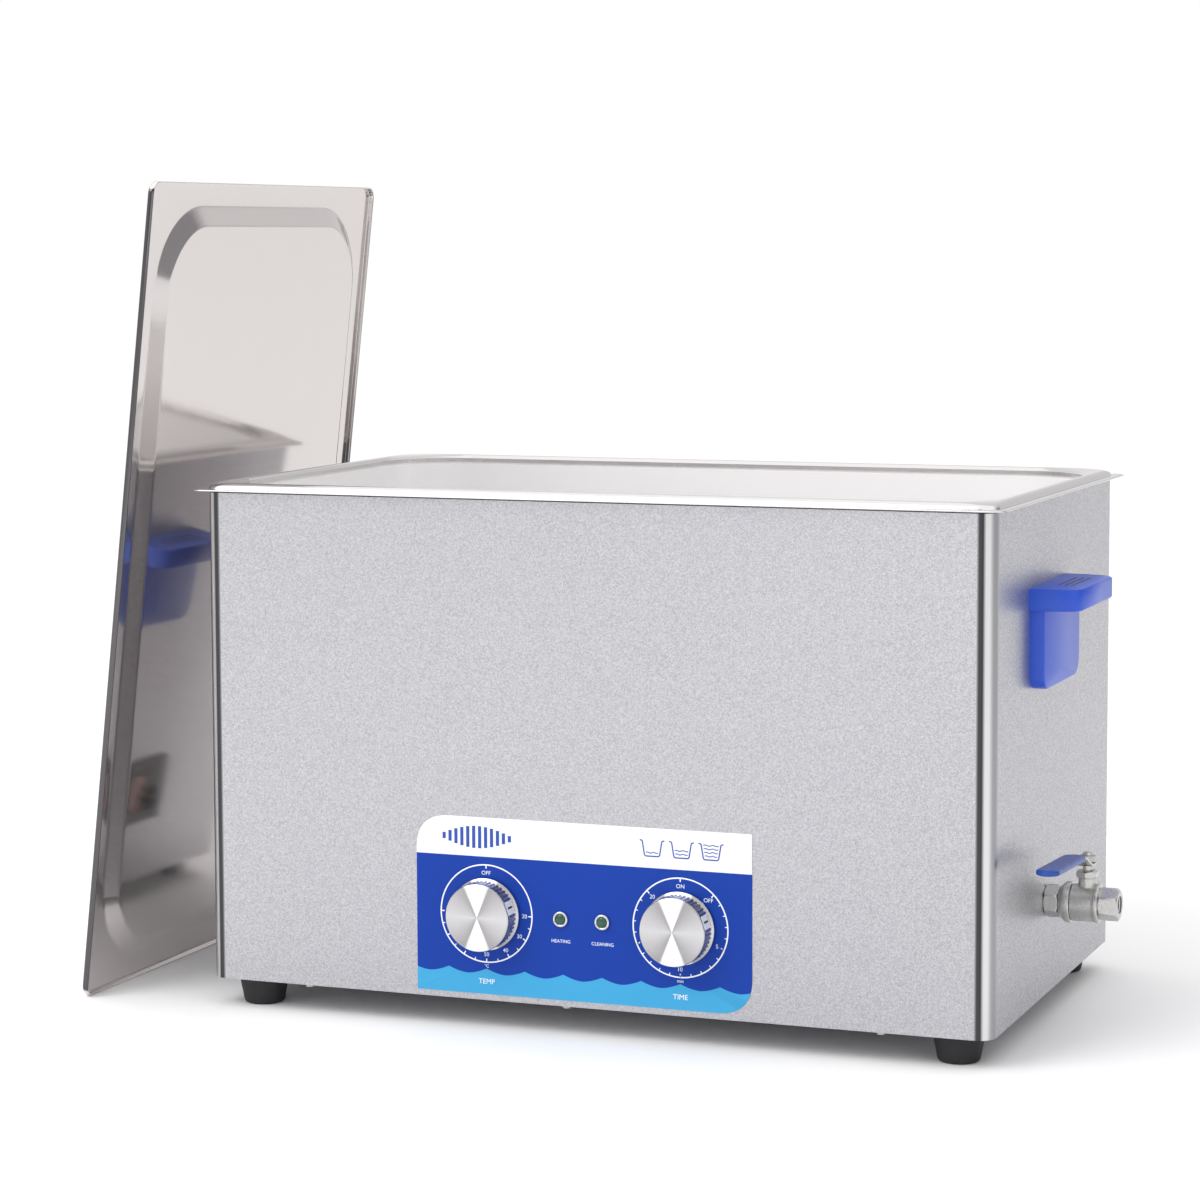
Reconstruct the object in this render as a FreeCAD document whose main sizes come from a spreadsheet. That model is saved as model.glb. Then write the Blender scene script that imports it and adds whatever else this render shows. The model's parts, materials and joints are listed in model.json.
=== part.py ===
"""Ultrasonic cleaner with a drawn steel tank, a drain valve, two dials and a lift-off lid.

Frame: millimetres, +Z up, the front panel faces -Y, the drain valve is on the +X side.
The origin is on the standing surface, at the centre of the four feet.
"""
import FreeCAD
import Part

import math
import os

import Sketcher
from FreeCAD import Placement, Rotation, Vector

DRIVING_SIZES = {
    # tank rim and casing
    "rim_length": 530.0,
    "rim_width": 325.0,
    "rim_corner": 8.0,
    "rim_lip_top": 332.8,
    "rim_lip_thick": 1.0,
    "rim_bead_rise": 4.0,
    "casing_inset": 7.0,
    "casing_corner": 11.0,
    "casing_bottom": 18.6,
    "casing_flange": 7.0,
    "sheet": 1.0,
    "gasket_thick": 1.2,
    # tank bowl
    "tank_length": 500.0,
    "tank_width": 295.0,
    "tank_corner": 50.0,
    "tank_depth": 200.0,
    "tank_floor_round": 15.0,
    # base, feet and fasteners
    "base_thick": 1.5,
    "base_gap": 0.4,
    "slot_length": 60.0,
    "slot_width": 4.0,
    "slot_pitch": 12.0,
    "foot_x": 231.6,
    "foot_y": 131.3,
    "foot_top_radius": 16.5,
    "foot_bottom_radius": 12.7,
    "foot_recess_radius": 7.0,
    "foot_recess_depth": 10.0,
    "foot_screw_radius": 2.5,
    "foot_screw_head": 4.6,
    "small_screw_radius": 1.5,
    "small_screw_head": 2.8,
    "small_screw_rise": 1.5,
    # transducers under the tank
    "horn_pitch_x": 110.0,
    "horn_pitch_y": 75.0,
    "horn_top_radius": 28.5,
    "horn_bottom_radius": 22.5,
    "horn_height": 30.0,
    "piezo_radius": 22.5,
    "piezo_bore": 8.5,
    "piezo_thick": 6.0,
    "electrode_thick": 0.4,
    "back_mass_height": 25.0,
    "clamp_bolt_radius": 5.0,
    "clamp_head_radius": 8.0,
    "clamp_head_height": 8.0,
    # heater pads on the long tank walls
    "heater_length": 300.0,
    "heater_height": 70.0,
    "heater_thick": 2.5,
    # control panel, dials and lamps
    "panel_centre_x": -1.4,
    "panel_length": 221.0,
    "panel_height": 111.0,
    "panel_bottom": 22.5,
    "panel_corner": 22.0,
    "panel_thick": 0.6,
    "dial_left_x": -64.8,
    "dial_right_x": 63.2,
    "dial_height": 73.3,
    "lamp_left_x": -15.0,
    "lamp_right_x": 12.5,
    "knob_face_radius": 21.2,
    "knob_base_radius": 22.6,
    "knob_height": 15.0,
    "knob_gap": 0.6,
    "shaft_radius": 3.0,
    "shaft_play": 0.05,
    "bushing_radius": 4.8,
    "lamp_radius": 5.0,
    "lamp_body_radius": 4.0,
    "lamp_rise": 2.2,
    # side handles
    "handle_y": -24.4,
    "handle_wall_width": 100.0,
    "handle_tip_width": 80.6,
    "handle_reach": 31.0,
    "handle_shelf_top": 279.0,
    "handle_shelf_thick": 13.8,
    "handle_plate_width": 93.0,
    "handle_plate_bottom": 216.3,
    "handle_plate_thick": 9.2,
    "handle_screw_spread": 60.0,
    "handle_screw_height": 240.0,
    "handle_screw_radius": 2.5,
    # drain line and ball valve
    "drain_x": 218.0,
    "drain_y": -23.0,
    "drain_z": 78.5,
    "hose_radius": 8.5,
    "hose_bore": 6.0,
    "hose_bend": 14.0,
    "pipe_thread_radius": 6.5,
    "pipe_bore": 4.0,
    "outlet_thread_radius": 5.72,
    "outlet_thread_length": 10.5,
    "hex_flats": 18.0,
    "ball_radius": 6.5,
    "ball_bore": 3.5,
    "ball_centre": 26.0,
    "stem_radius": 3.0,
    "stem_top": 110.5,
    "lever_hub_z": 102.5,
    "lever_thick": 2.0,
    "lever_width": 11.0,
    "lever_length": 107.0,
    "grip_width": 14.4,
    "grip_length": 77.0,
    "grip_wall": 0.9,
    # power inlet on the left side
    "inlet_y": 20.0,
    "inlet_z": 88.0,
    "inlet_width": 52.0,
    "inlet_height": 46.0,
    # fan on the back wall
    "fan_x": -120.0,
    "fan_z": 70.0,
    "fan_size": 80.0,
    "fan_thick": 25.0,
    "fan_bore": 37.5,
    "fan_hub": 15.0,
    "fan_screw_pitch": 71.5,
    # generator board
    "board_x": -160.0,
    "board_y": 0.0,
    "board_length": 130.0,
    "board_width": 100.0,
    "board_thick": 1.6,
    "board_lift": 8.0,
    # lid, standing on its short edge beside the cleaner
    "lid_length": 530.0,
    "lid_width": 325.0,
    "lid_lip": 3.5,
    "lid_lean": 6.38,
    "lid_foot_x": -343.6,
    "lid_centre_y": -1.9,
    "lid_flange": 16.0,
    "lid_panel_corner": 58.0,
    "lid_panel_drop": 5.5,
    "lid_panel_inset": 11.5,
    "lid_handle_span": 120.0,
    "lid_handle_rise": 32.0,
    "lid_handle_radius": 4.0,
}

SHEET_NAME = "sizes"
FACING = {
    "up": Rotation(Vector(0, 0, 1), 0),
    "down": Rotation(Vector(1, 0, 0), 180),
    "front": Rotation(Vector(1, 0, 0), 90),
    "back": Rotation(Vector(1, 0, 0), -90),
    "right": Rotation(Vector(0, 1, 0), 90),
    "left": Rotation(Vector(0, 1, 0), -90),
}
DIRECTION = {
    "up": (0, 0, 1),
    "down": (0, 0, -1),
    "front": (0, -1, 0),
    "back": (0, 1, 0),
    "right": (1, 0, 0),
    "left": (-1, 0, 0),
}
TOUCH = 1e-4


class Size:
    """A number together with the spreadsheet formula that gives it."""

    def __init__(self, value, formula):
        self.value = value
        self.formula = formula

    def __add__(self, other):
        other = as_size(other)
        return Size(self.value + other.value, f"({self.formula} + {other.formula})")

    def __sub__(self, other):
        other = as_size(other)
        return Size(self.value - other.value, f"({self.formula} - {other.formula})")

    def __mul__(self, other):
        other = as_size(other)
        return Size(self.value * other.value, f"({self.formula} * {other.formula})")

    def __truediv__(self, other):
        other = as_size(other)
        return Size(self.value / other.value, f"({self.formula} / {other.formula})")

    def __radd__(self, other):
        return as_size(other) + self

    def __rsub__(self, other):
        return as_size(other) - self

    def __rmul__(self, other):
        return as_size(other) * self

    def __neg__(self):
        return as_size(0) - self

    def sine(self):
        return Size(math.sin(math.radians(self.value)), f"sin({self.formula})")

    def cosine(self):
        return Size(math.cos(math.radians(self.value)), f"cos({self.formula})")


def as_size(value):
    if isinstance(value, Size):
        return value
    return Size(float(value), f"({float(value)})")


class Sizes:
    """The driving dimensions, each one a cell of the document's spreadsheet."""

    def __init__(self, document):
        self.cells = document.addObject("Spreadsheet::Sheet", SHEET_NAME)
        for row, (alias, value) in enumerate(DRIVING_SIZES.items(), start=1):
            self.cells.set(f"A{row}", alias.replace("_", " "))
            self.cells.set(f"B{row}", str(value))
            self.cells.setAlias(f"B{row}", alias)

    def __getattr__(self, alias):
        return Size(DRIVING_SIZES[alias], f"{SHEET_NAME}.{alias}")


def bind(owner, path, size):
    """Tie one property of an object to the sheet."""
    owner.setExpression(path, as_size(size).formula)


def place(piece, x=0, y=0, z=0, facing="up"):
    """Put a piece's own origin at x, y, z, with its +Z axis turned to face that way."""
    spot = [as_size(value) for value in (x, y, z)]
    piece.Placement = Placement(Vector(*[size.value for size in spot]), FACING[facing])
    for axis, size in zip("xyz", spot):
        bind(piece, f"Placement.Base.{axis}", size)
    return piece


class Model:
    """The document, with the short calls that make its pieces."""

    def __init__(self):
        self.document = FreeCAD.newDocument("ultrasonic_cleaner")
        self.sizes = Sizes(self.document)
        self.document.recompute()
        self.parts = []

    def keep(self, piece):
        """Mark a finished piece as one of the sub-parts that are written out."""
        self.parts.append(piece)
        return piece

    # Part primitives

    def primitive(self, kind, label, dimensions, **spot):
        piece = self.document.addObject(kind, label)
        for name, size in dimensions.items():
            bind(piece, name, size)
        return place(piece, **spot)

    def block(self, label, length, width, height, **spot):
        """A box with one corner at its origin."""
        sizes = {"Length": length, "Width": width, "Height": height}
        return self.primitive("Part::Box", label, sizes, **spot)

    def centred_block(self, label, length, width, height, x, y, z):
        """A box centred on x and y that stands on z."""
        corner_x = as_size(x) - as_size(length) / 2
        corner_y = as_size(y) - as_size(width) / 2
        return self.block(label, length, width, height, x=corner_x, y=corner_y, z=z)

    def rod(self, label, radius, height, **spot):
        return self.primitive("Part::Cylinder", label, {"Radius": radius, "Height": height}, **spot)

    def hexagon(self, label, flats, height, **spot):
        """A six-sided bar, measured across its flats."""
        corner = as_size(flats) / 2 / math.cos(math.radians(30))
        bar = self.primitive("Part::Prism", label, {"Circumradius": corner, "Height": height}, **spot)
        bar.Polygon = 6
        return bar

    def sphere(self, label, radius, **spot):
        return self.primitive("Part::Sphere", label, {"Radius": radius}, **spot)

    def join(self, label, pieces):
        whole = self.document.addObject("Part::MultiFuse", label)
        whole.Shapes = pieces
        return whole

    def cut(self, label, base, tools):
        tool = tools[0]
        if len(tools) > 1:
            tool = self.join(f"{label}_tools", tools)
        result = self.document.addObject("Part::Cut", label)
        result.Base = base
        result.Tool = tool
        return result

    # PartDesign bodies

    def body(self, label, **spot):
        solid = self.document.addObject("PartDesign::Body", label)
        place(solid, **spot)
        return solid

    def sketch(self, body, plane="XY", level=0):
        """A sketch on one of the body's own planes, lifted along that plane's normal."""
        drawing = body.newObject("Sketcher::SketchObject", f"{body.Name}_sketch")
        role = f"{plane}_Plane"
        support = [feature for feature in body.Origin.OriginFeatures if feature.Role == role][0]
        drawing.AttachmentSupport = (support, [""])
        drawing.MapMode = "FlatFace"
        bind(drawing, "AttachmentOffset.Base.z", level)
        return drawing

    def pad(self, body, sketch, length, midplane=False, against=False):
        """Extrude along the sketch's normal, or against it."""
        feature = body.newObject("PartDesign::Pad", f"{body.Name}_pad")
        feature.Profile = sketch
        feature.Midplane = midplane
        feature.Reversed = against
        bind(feature, "Length", length)
        return feature

    def pocket(self, body, sketch, length, along=False):
        """Cut against the sketch's normal, or along it."""
        feature = body.newObject("PartDesign::Pocket", f"{body.Name}_pocket")
        feature.Profile = sketch
        feature.Reversed = along
        bind(feature, "Length", length)
        return feature

    def revolve(self, body, sketch, cutting=False):
        """Turn the sketch a full circle about its vertical axis."""
        kind = "PartDesign::Groove" if cutting else "PartDesign::Revolution"
        feature = body.newObject(kind, f"{body.Name}_turn")
        feature.Profile = sketch
        feature.ReferenceAxis = (sketch, ["V_Axis"])
        feature.Angle = 360
        return feature

    def turned(self, label, profile, **spot):
        """A lathe part: profile is a list of (radius, height) points."""
        body = self.body(label, **spot)
        drawing = self.sketch(body, "XZ")
        outline(drawing, profile)
        self.revolve(body, drawing)
        return body

    def loft(self, body, sketches, cutting=False):
        kind = "PartDesign::SubtractiveLoft" if cutting else "PartDesign::AdditiveLoft"
        feature = body.newObject(kind, f"{body.Name}_loft")
        feature.Profile = sketches[0]
        feature.Sections = sketches[1:]
        feature.Ruled = True
        return feature

    def round_edges(self, body, radius, chosen):
        """Fillet the edges of the body's present shape that the test chooses."""
        self.document.recompute()
        base = body.Tip
        names = [f"Edge{i}" for i, edge in enumerate(base.Shape.Edges, start=1) if chosen(edge)]
        feature = body.newObject("PartDesign::Fillet", f"{body.Name}_fillet")
        feature.Base = (base, names)
        bind(feature, "Radius", radius)
        return feature

    def rows(self, body, feature, sketch, first, second=None):
        """Repeat a feature in one or two straight directions: (axis, extent, count)."""
        pattern = body.newObject("PartDesign::LinearPattern", f"{body.Name}_rows")
        pattern.Originals = [feature]
        pattern.Direction = (sketch, [first[0]])
        bind(pattern, "Length", first[1])
        pattern.Occurrences = first[2]
        if second:
            pattern.Direction2 = (sketch, [second[0]])
            bind(pattern, "Length2", second[1])
            pattern.Occurrences2 = second[2]
        body.Tip = pattern
        return pattern

    def circle_of(self, body, feature, sketch, count):
        """Repeat a feature around the sketch's normal."""
        pattern = body.newObject("PartDesign::PolarPattern", f"{body.Name}_circle")
        pattern.Originals = [feature]
        pattern.Axis = (sketch, ["N_Axis"])
        pattern.Angle = 360
        pattern.Occurrences = count
        body.Tip = pattern
        return pattern


# Sketch outlines, every point of which is tied to the sheet


def fix(sketch, kind, first, size, corner=1):
    """Hold one point of a sketch at a signed distance from the sketch's origin."""
    size = as_size(size)
    index = sketch.addConstraint(Sketcher.Constraint(kind, -1, 1, first, corner, size.value))
    bind(sketch, f"Constraints[{index}]", size)


def arc_centre(start, end, radius):
    """Centre of the arc that runs anticlockwise from start to end."""
    chord = end - start
    left = Vector(-chord.y, chord.x, 0).normalize()
    middle = (start + end) / 2
    return middle + left * math.sqrt(radius**2 - (chord.Length / 2) ** 2)


def outline(sketch, points):
    """Draw a closed outline through (x, y) points, beside any that the sketch already holds.

    A point given as (x, y, radius) starts an arc that bulges to the right of the way
    the outline runs, which is outwards where it runs anticlockwise.
    """
    first = len(sketch.Geometry)
    count = len(points)
    corners = [Vector(as_size(p[0]).value, as_size(p[1]).value, 0) for p in points]
    for index, point in enumerate(points):
        start = corners[index]
        end = corners[(index + 1) % count]
        if len(point) == 2:
            sketch.addGeometry(Part.LineSegment(start, end))
            continue
        centre = arc_centre(start, end, as_size(point[2]).value)
        circle = Part.Circle(centre, Vector(0, 0, 1), as_size(point[2]).value)
        first_angle = math.atan2(start.y - centre.y, start.x - centre.x)
        last_angle = math.atan2(end.y - centre.y, end.x - centre.x)
        sketch.addGeometry(Part.ArcOfCircle(circle, first_angle, last_angle))
    for index, point in enumerate(points):
        here = first + index
        following = first + (index + 1) % count
        sketch.addConstraint(Sketcher.Constraint("Coincident", here, 2, following, 1))
        fix(sketch, "DistanceX", here, point[0])
        fix(sketch, "DistanceY", here, point[1])
        if len(point) == 3:
            radius = as_size(point[2])
            held = sketch.addConstraint(Sketcher.Constraint("Radius", here, radius.value))
            bind(sketch, f"Constraints[{held}]", radius)


def rectangle(sketch, x, y, length, width):
    """Draw a rectangle centred on x, y."""
    x = as_size(x)
    y = as_size(y)
    half_length = as_size(length) / 2
    half_width = as_size(width) / 2
    left = x - half_length
    right = x + half_length
    low = y - half_width
    high = y + half_width
    outline(sketch, [(left, low), (right, low), (right, high), (left, high)])


def rounded_rectangle(sketch, x, y, length, width, radius):
    """Draw a rectangle with round corners, centred on x, y."""
    x = as_size(x)
    y = as_size(y)
    radius = as_size(radius)
    half_length = as_size(length) / 2
    half_width = as_size(width) / 2
    left = x - half_length
    right = x + half_length
    low = y - half_width
    high = y + half_width
    points = [
        (left + radius, low),
        (right - radius, low, radius),
        (right, low + radius),
        (right, high - radius, radius),
        (right - radius, high),
        (left + radius, high, radius),
        (left, high - radius),
        (left, low + radius, radius),
    ]
    outline(sketch, points)


def circle(sketch, x, y, radius):
    """Draw a circle centred on x, y."""
    x = as_size(x)
    y = as_size(y)
    radius = as_size(radius)
    index = sketch.addGeometry(Part.Circle(Vector(x.value, y.value, 0), Vector(0, 0, 1), radius.value))
    fix(sketch, "DistanceX", index, x, corner=3)
    fix(sketch, "DistanceY", index, y, corner=3)
    held = sketch.addConstraint(Sketcher.Constraint("Radius", index, radius.value))
    bind(sketch, f"Constraints[{held}]", radius)


def flat_at(height):
    """A test for edges that lie level at one height."""
    value = as_size(height).value

    def chosen(edge):
        box = edge.BoundBox
        return abs(box.ZMin - value) < TOUCH and abs(box.ZMax - value) < TOUCH

    return chosen


# Tank and casing


def make_tank(model):
    """Deep-drawn tank: flat outer lip, raised bead, straight walls and a round-edged floor."""
    s = model.sizes
    lip_bottom = s.rim_lip_top - s.rim_lip_thick
    bead_top = s.rim_lip_top + s.rim_bead_rise
    bead_length = s.rim_length - 2 * s.casing_inset
    bead_width = s.rim_width - 2 * s.casing_inset
    floor_top = bead_top - s.tank_depth
    floor_bottom = floor_top - s.sheet
    bead_round = (bead_length - s.tank_length) / 2 * 0.48
    tank = model.body("tank")
    bowl = model.sketch(tank, level=floor_bottom)
    bowl_length = s.tank_length + 2 * s.sheet
    bowl_width = s.tank_width + 2 * s.sheet
    rounded_rectangle(bowl, 0, 0, bowl_length, bowl_width, s.tank_corner + s.sheet)
    model.pad(tank, bowl, lip_bottom - floor_bottom)
    hollow = model.sketch(tank, level=lip_bottom)
    rounded_rectangle(hollow, 0, 0, s.tank_length, s.tank_width, s.tank_corner)
    model.pocket(tank, hollow, lip_bottom - floor_top)
    model.round_edges(tank, s.tank_floor_round, flat_at(floor_top))
    model.round_edges(tank, s.tank_floor_round + s.sheet, flat_at(floor_bottom))
    lip = model.sketch(tank, level=lip_bottom)
    rounded_rectangle(lip, 0, 0, s.rim_length, s.rim_width, s.rim_corner)
    rounded_rectangle(lip, 0, 0, s.tank_length, s.tank_width, s.tank_corner)
    model.pad(tank, lip, s.rim_lip_thick)
    bead = model.sketch(tank, level=lip_bottom)
    rounded_rectangle(bead, 0, 0, bead_length, bead_width, s.casing_corner)
    rounded_rectangle(bead, 0, 0, s.tank_length, s.tank_width, s.tank_corner)
    model.pad(tank, bead, bead_top - lip_bottom)
    model.round_edges(tank, bead_round, flat_at(bead_top))
    drain = model.sketch(tank, level=floor_top)
    circle(drain, s.drain_x, s.drain_y, 8.2)
    model.pocket(tank, drain, 2 * s.sheet)
    return model.keep(tank)


def make_rim_gasket(model):
    """Flat silicone gasket between the rim and the casing's top flange."""
    s = model.sizes
    gasket = model.body("rim_gasket")
    ring = model.sketch(gasket, level=s.rim_lip_top - s.rim_lip_thick - s.gasket_thick)
    length = s.rim_length - 2 * s.casing_inset - 3
    width = s.rim_width - 2 * s.casing_inset - 3
    rounded_rectangle(ring, 0, 0, length, width, s.casing_corner - 1.5)
    rounded_rectangle(ring, 0, 0, s.tank_length + 5, s.tank_width + 5, s.tank_corner + 2.5)
    model.pad(gasket, ring, s.gasket_thick)
    return model.keep(gasket)


def make_casing(model):
    """Folded stainless wrap with a narrow flange at its top and its bottom."""
    s = model.sizes
    length = s.rim_length - 2 * s.casing_inset
    width = s.rim_width - 2 * s.casing_inset
    top = s.rim_lip_top - s.rim_lip_thick - s.gasket_thick
    flange = 2 * s.casing_flange
    through = 2 * s.sheet
    casing = model.body("casing_shell")
    shell = model.sketch(casing, level=s.casing_bottom)
    rounded_rectangle(shell, 0, 0, length, width, s.casing_corner)
    model.pad(casing, shell, top - s.casing_bottom)
    hollow = model.sketch(casing, level=s.casing_bottom + s.sheet)
    rounded_rectangle(hollow, 0, 0, length - through, width - through, s.casing_corner - s.sheet)
    model.pocket(casing, hollow, top - s.casing_bottom - through, along=True)
    mouth = model.sketch(casing, level=top)
    rounded_rectangle(mouth, 0, 0, s.tank_length + 5, s.tank_width + 5, s.tank_corner + 2.5)
    model.pocket(casing, mouth, through)
    bottom = model.sketch(casing, level=s.casing_bottom)
    rounded_rectangle(bottom, 0, 0, length - flange, width - flange, s.casing_corner - 4)
    model.pocket(casing, bottom, through, along=True)
    fixings = model.sketch(casing, level=s.casing_bottom)
    for x, y in base_screw_spots(s):
        circle(fixings, x, y, s.small_screw_radius + 0.1)
    model.pocket(casing, fixings, through, along=True)
    front = model.sketch(casing, "XZ", level=width / 2)
    for x in (s.dial_left_x, s.dial_right_x):
        circle(front, x, s.dial_height, s.bushing_radius + 0.2)
    for x in (s.lamp_left_x, s.lamp_right_x):
        circle(front, x, s.dial_height, s.lamp_body_radius + 0.1)
    model.pocket(casing, front, through)
    back = model.sketch(casing, "XZ", level=-(width / 2))
    circle(back, s.fan_x, s.fan_z, s.fan_bore)
    for x, z in fan_screw_spots(s):
        circle(back, x, z, s.small_screw_radius + 0.1)
    model.pocket(casing, back, through, along=True)
    right = model.sketch(casing, "YZ", level=length / 2)
    circle(right, s.drain_y, s.drain_z, s.pipe_thread_radius + 0.2)
    handle_holes(right, s)
    model.pocket(casing, right, through)
    left = model.sketch(casing, "YZ", level=-(length / 2))
    rectangle(left, s.inlet_y, s.inlet_z, s.inlet_width - 5.5, s.inlet_height - 5.5)
    handle_holes(left, s)
    model.pocket(casing, left, through, along=True)
    return model.keep(casing)


def handle_holes(sketch, s):
    """The two screw holes of a side handle."""
    for side in (-1, 1):
        y = s.handle_y + side * s.handle_screw_spread / 2
        circle(sketch, y, s.handle_screw_height, s.handle_screw_radius + 0.2)


def base_screw_spots(s):
    """Three screws under the front edge, three under the back, one under each end."""
    edge_y = s.rim_width / 2 - s.casing_inset - s.casing_flange / 2 - s.sheet / 2
    edge_x = s.rim_length / 2 - s.casing_inset - s.casing_flange / 2 - s.sheet / 2
    spots = [(x, side * edge_y) for side in (-1, 1) for x in (-189, -13, 189)]
    return spots + [(-edge_x, 0), (edge_x, 0)]


def foot_spots(s):
    """Name and place of each foot."""
    return {
        "front_left": (-s.foot_x, -s.foot_y),
        "front_right": (s.foot_x, -s.foot_y),
        "back_left": (-s.foot_x, s.foot_y),
        "back_right": (s.foot_x, s.foot_y),
    }


def make_base(model):
    """Bottom plate with two rows of cooling slots, screwed to the casing's bottom flange."""
    s = model.sizes
    play = 2 * (s.sheet + s.base_gap)
    length = s.rim_length - 2 * s.casing_inset - play
    width = s.rim_width - 2 * s.casing_inset - play
    level = s.casing_bottom + s.sheet
    base = model.body("base_plate")
    plate = model.sketch(base, level=level)
    rounded_rectangle(plate, 0, 0, length, width, s.casing_corner - 1.5)
    for x, y in foot_spots(s).values():
        circle(plate, x, y, s.foot_screw_radius + 0.2)
    for x, y in base_screw_spots(s):
        circle(plate, x, y, s.small_screw_radius + 0.1)
    model.pad(base, plate, s.base_thick)
    slot = model.sketch(base, level=level)
    rectangle(slot, 70, -50, s.slot_width, s.slot_length)
    opening = model.pocket(base, slot, 2 * s.base_thick, along=True)
    model.rows(base, opening, slot, ("H_Axis", 9 * s.slot_pitch, 10), ("V_Axis", 100, 2))
    return model.keep(base)


def screws(model, label, spots, head_radius, head_height, shank_radius, shank_length, facing):
    """A group of like screws. Each spot is under the head; the head stands towards facing."""
    pieces = []
    away = DIRECTION[facing]
    for index, spot in enumerate(spots, start=1):
        x, y, z = spot
        root = [as_size(value) - step * shank_length for value, step in zip(spot, away)]
        head = model.rod(f"{label}_head{index}", head_radius, head_height, x=x, y=y, z=z, facing=facing)
        shank = model.rod(
            f"{label}_shank{index}", shank_radius, shank_length,
            x=root[0], y=root[1], z=root[2], facing=facing,
        )
        pieces += [head, shank]
    return model.keep(model.join(label, pieces))


def make_feet(model):
    """Four tapered rubber feet, each held by a screw in its recess and a nut inside."""
    s = model.sizes
    top = s.casing_bottom + s.sheet
    profile = [
        (s.foot_recess_radius, 0),
        (s.foot_bottom_radius - 0.7, 0),
        (s.foot_bottom_radius, 0.7),
        (s.foot_top_radius, top),
        (s.foot_screw_radius + 0.1, top),
        (s.foot_screw_radius + 0.1, s.foot_recess_depth),
        (s.foot_recess_radius, s.foot_recess_depth),
    ]
    cones = [model.turned(f"foot_{name}", profile, x=x, y=y) for name, (x, y) in foot_spots(s).items()]
    model.keep(model.join("feet", cones))
    spots = [(x, y, s.foot_recess_depth) for x, y in foot_spots(s).values()]
    shank = top + s.base_thick + 5 - s.foot_recess_depth
    screws(model, "foot_screws", spots, s.foot_screw_head, 3.4, s.foot_screw_radius, shank, "down")
    nuts = []
    bores = []
    for index, (x, y) in enumerate(foot_spots(s).values(), start=1):
        nuts.append(model.hexagon(f"foot_nut{index}", 8, 4, x=x, y=y, z=top + s.base_thick))
        bores.append(model.rod(f"foot_nut_bore{index}", s.foot_screw_radius, 8, x=x, y=y, z=top))
    model.keep(model.cut("foot_nuts", model.join("foot_nut_blanks", nuts), bores))


def make_base_screws(model):
    """Small pan-head screws that hold the bottom plate, heads below the casing's edge."""
    s = model.sizes
    spots = [(x, y, s.casing_bottom) for x, y in base_screw_spots(s)]
    shank = s.sheet + s.base_thick + 3
    screws(
        model, "base_screws", spots, s.small_screw_head, s.small_screw_rise,
        s.small_screw_radius, shank, "down",
    )


# Ultrasonic transducers and heating


def horn_spots(s):
    """Centres of the transducers: four along the tank by three across it."""
    return [
        (s.horn_pitch_x * column, s.horn_pitch_y * row)
        for column in (-1.5, -0.5, 0.5, 1.5)
        for row in (-1, 0, 1)
    ]


def make_transducers(model):
    """Bolted sandwich transducers: horn, two ceramic rings, electrodes, back mass and bolt."""
    s = model.sizes
    tank_floor = s.rim_lip_top + s.rim_bead_rise - s.tank_depth - s.sheet
    bolt_bore = s.clamp_bolt_radius
    grip = 14
    horn = [
        (bolt_bore, s.horn_height),
        (s.horn_bottom_radius, s.horn_height),
        (s.horn_top_radius, 6),
        (s.horn_top_radius, 0),
        (0, 0),
        (0, s.horn_height - grip),
        (bolt_bore, s.horn_height - grip),
    ]
    first_ring = s.horn_height
    first_electrode = first_ring + s.piezo_thick
    second_ring = first_electrode + s.electrode_thick
    second_electrode = second_ring + s.piezo_thick
    back_mass = second_electrode + s.electrode_thick
    bolt_head = back_mass + s.back_mass_height
    stacks = {
        "transducer_horns": [horn],
        "piezo_rings": [
            washer(s.piezo_bore, s.piezo_radius, first_ring, s.piezo_thick),
            washer(s.piezo_bore, s.piezo_radius, second_ring, s.piezo_thick),
        ],
        "electrode_plates": [
            washer(s.piezo_bore, s.piezo_radius + 2, first_electrode, s.electrode_thick),
            washer(s.piezo_bore, s.piezo_radius + 2, second_electrode, s.electrode_thick),
        ],
        "back_masses": [washer(bolt_bore + 0.2, s.piezo_radius, back_mass, s.back_mass_height)],
        "clamp_bolts": [
            [
                (0, s.horn_height - grip + 1),
                (bolt_bore, s.horn_height - grip + 1),
                (bolt_bore, bolt_head),
                (s.clamp_head_radius, bolt_head),
                (s.clamp_head_radius, bolt_head + s.clamp_head_height),
                (0, bolt_head + s.clamp_head_height),
            ]
        ],
    }
    for label, profiles in stacks.items():
        pieces = []
        for index, (x, y) in enumerate(horn_spots(s), start=1):
            for layer, profile in enumerate(profiles, start=1):
                name = f"{label}_{index}_{layer}"
                pieces.append(model.turned(name, profile, x=x, y=y, z=tank_floor, facing="down"))
        model.keep(model.join(label, pieces))


def washer(bore, radius, level, thickness):
    """Lathe outline of a flat ring."""
    top = level + thickness
    return [(bore, level), (radius, level), (radius, top), (bore, top)]


def make_heaters(model):
    """Two flat heater pads on the long walls of the tank."""
    s = model.sizes
    wall = s.tank_width / 2 + s.sheet
    pads = []
    for index, side in enumerate((-1, 1), start=1):
        y = side * (wall + s.heater_thick / 2)
        pads.append(
            model.centred_block(
                f"heater_pad{index}", s.heater_length, s.heater_thick, s.heater_height, 0, y, 165
            )
        )
    model.keep(model.join("heater_pads", pads))


# Control panel


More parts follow.
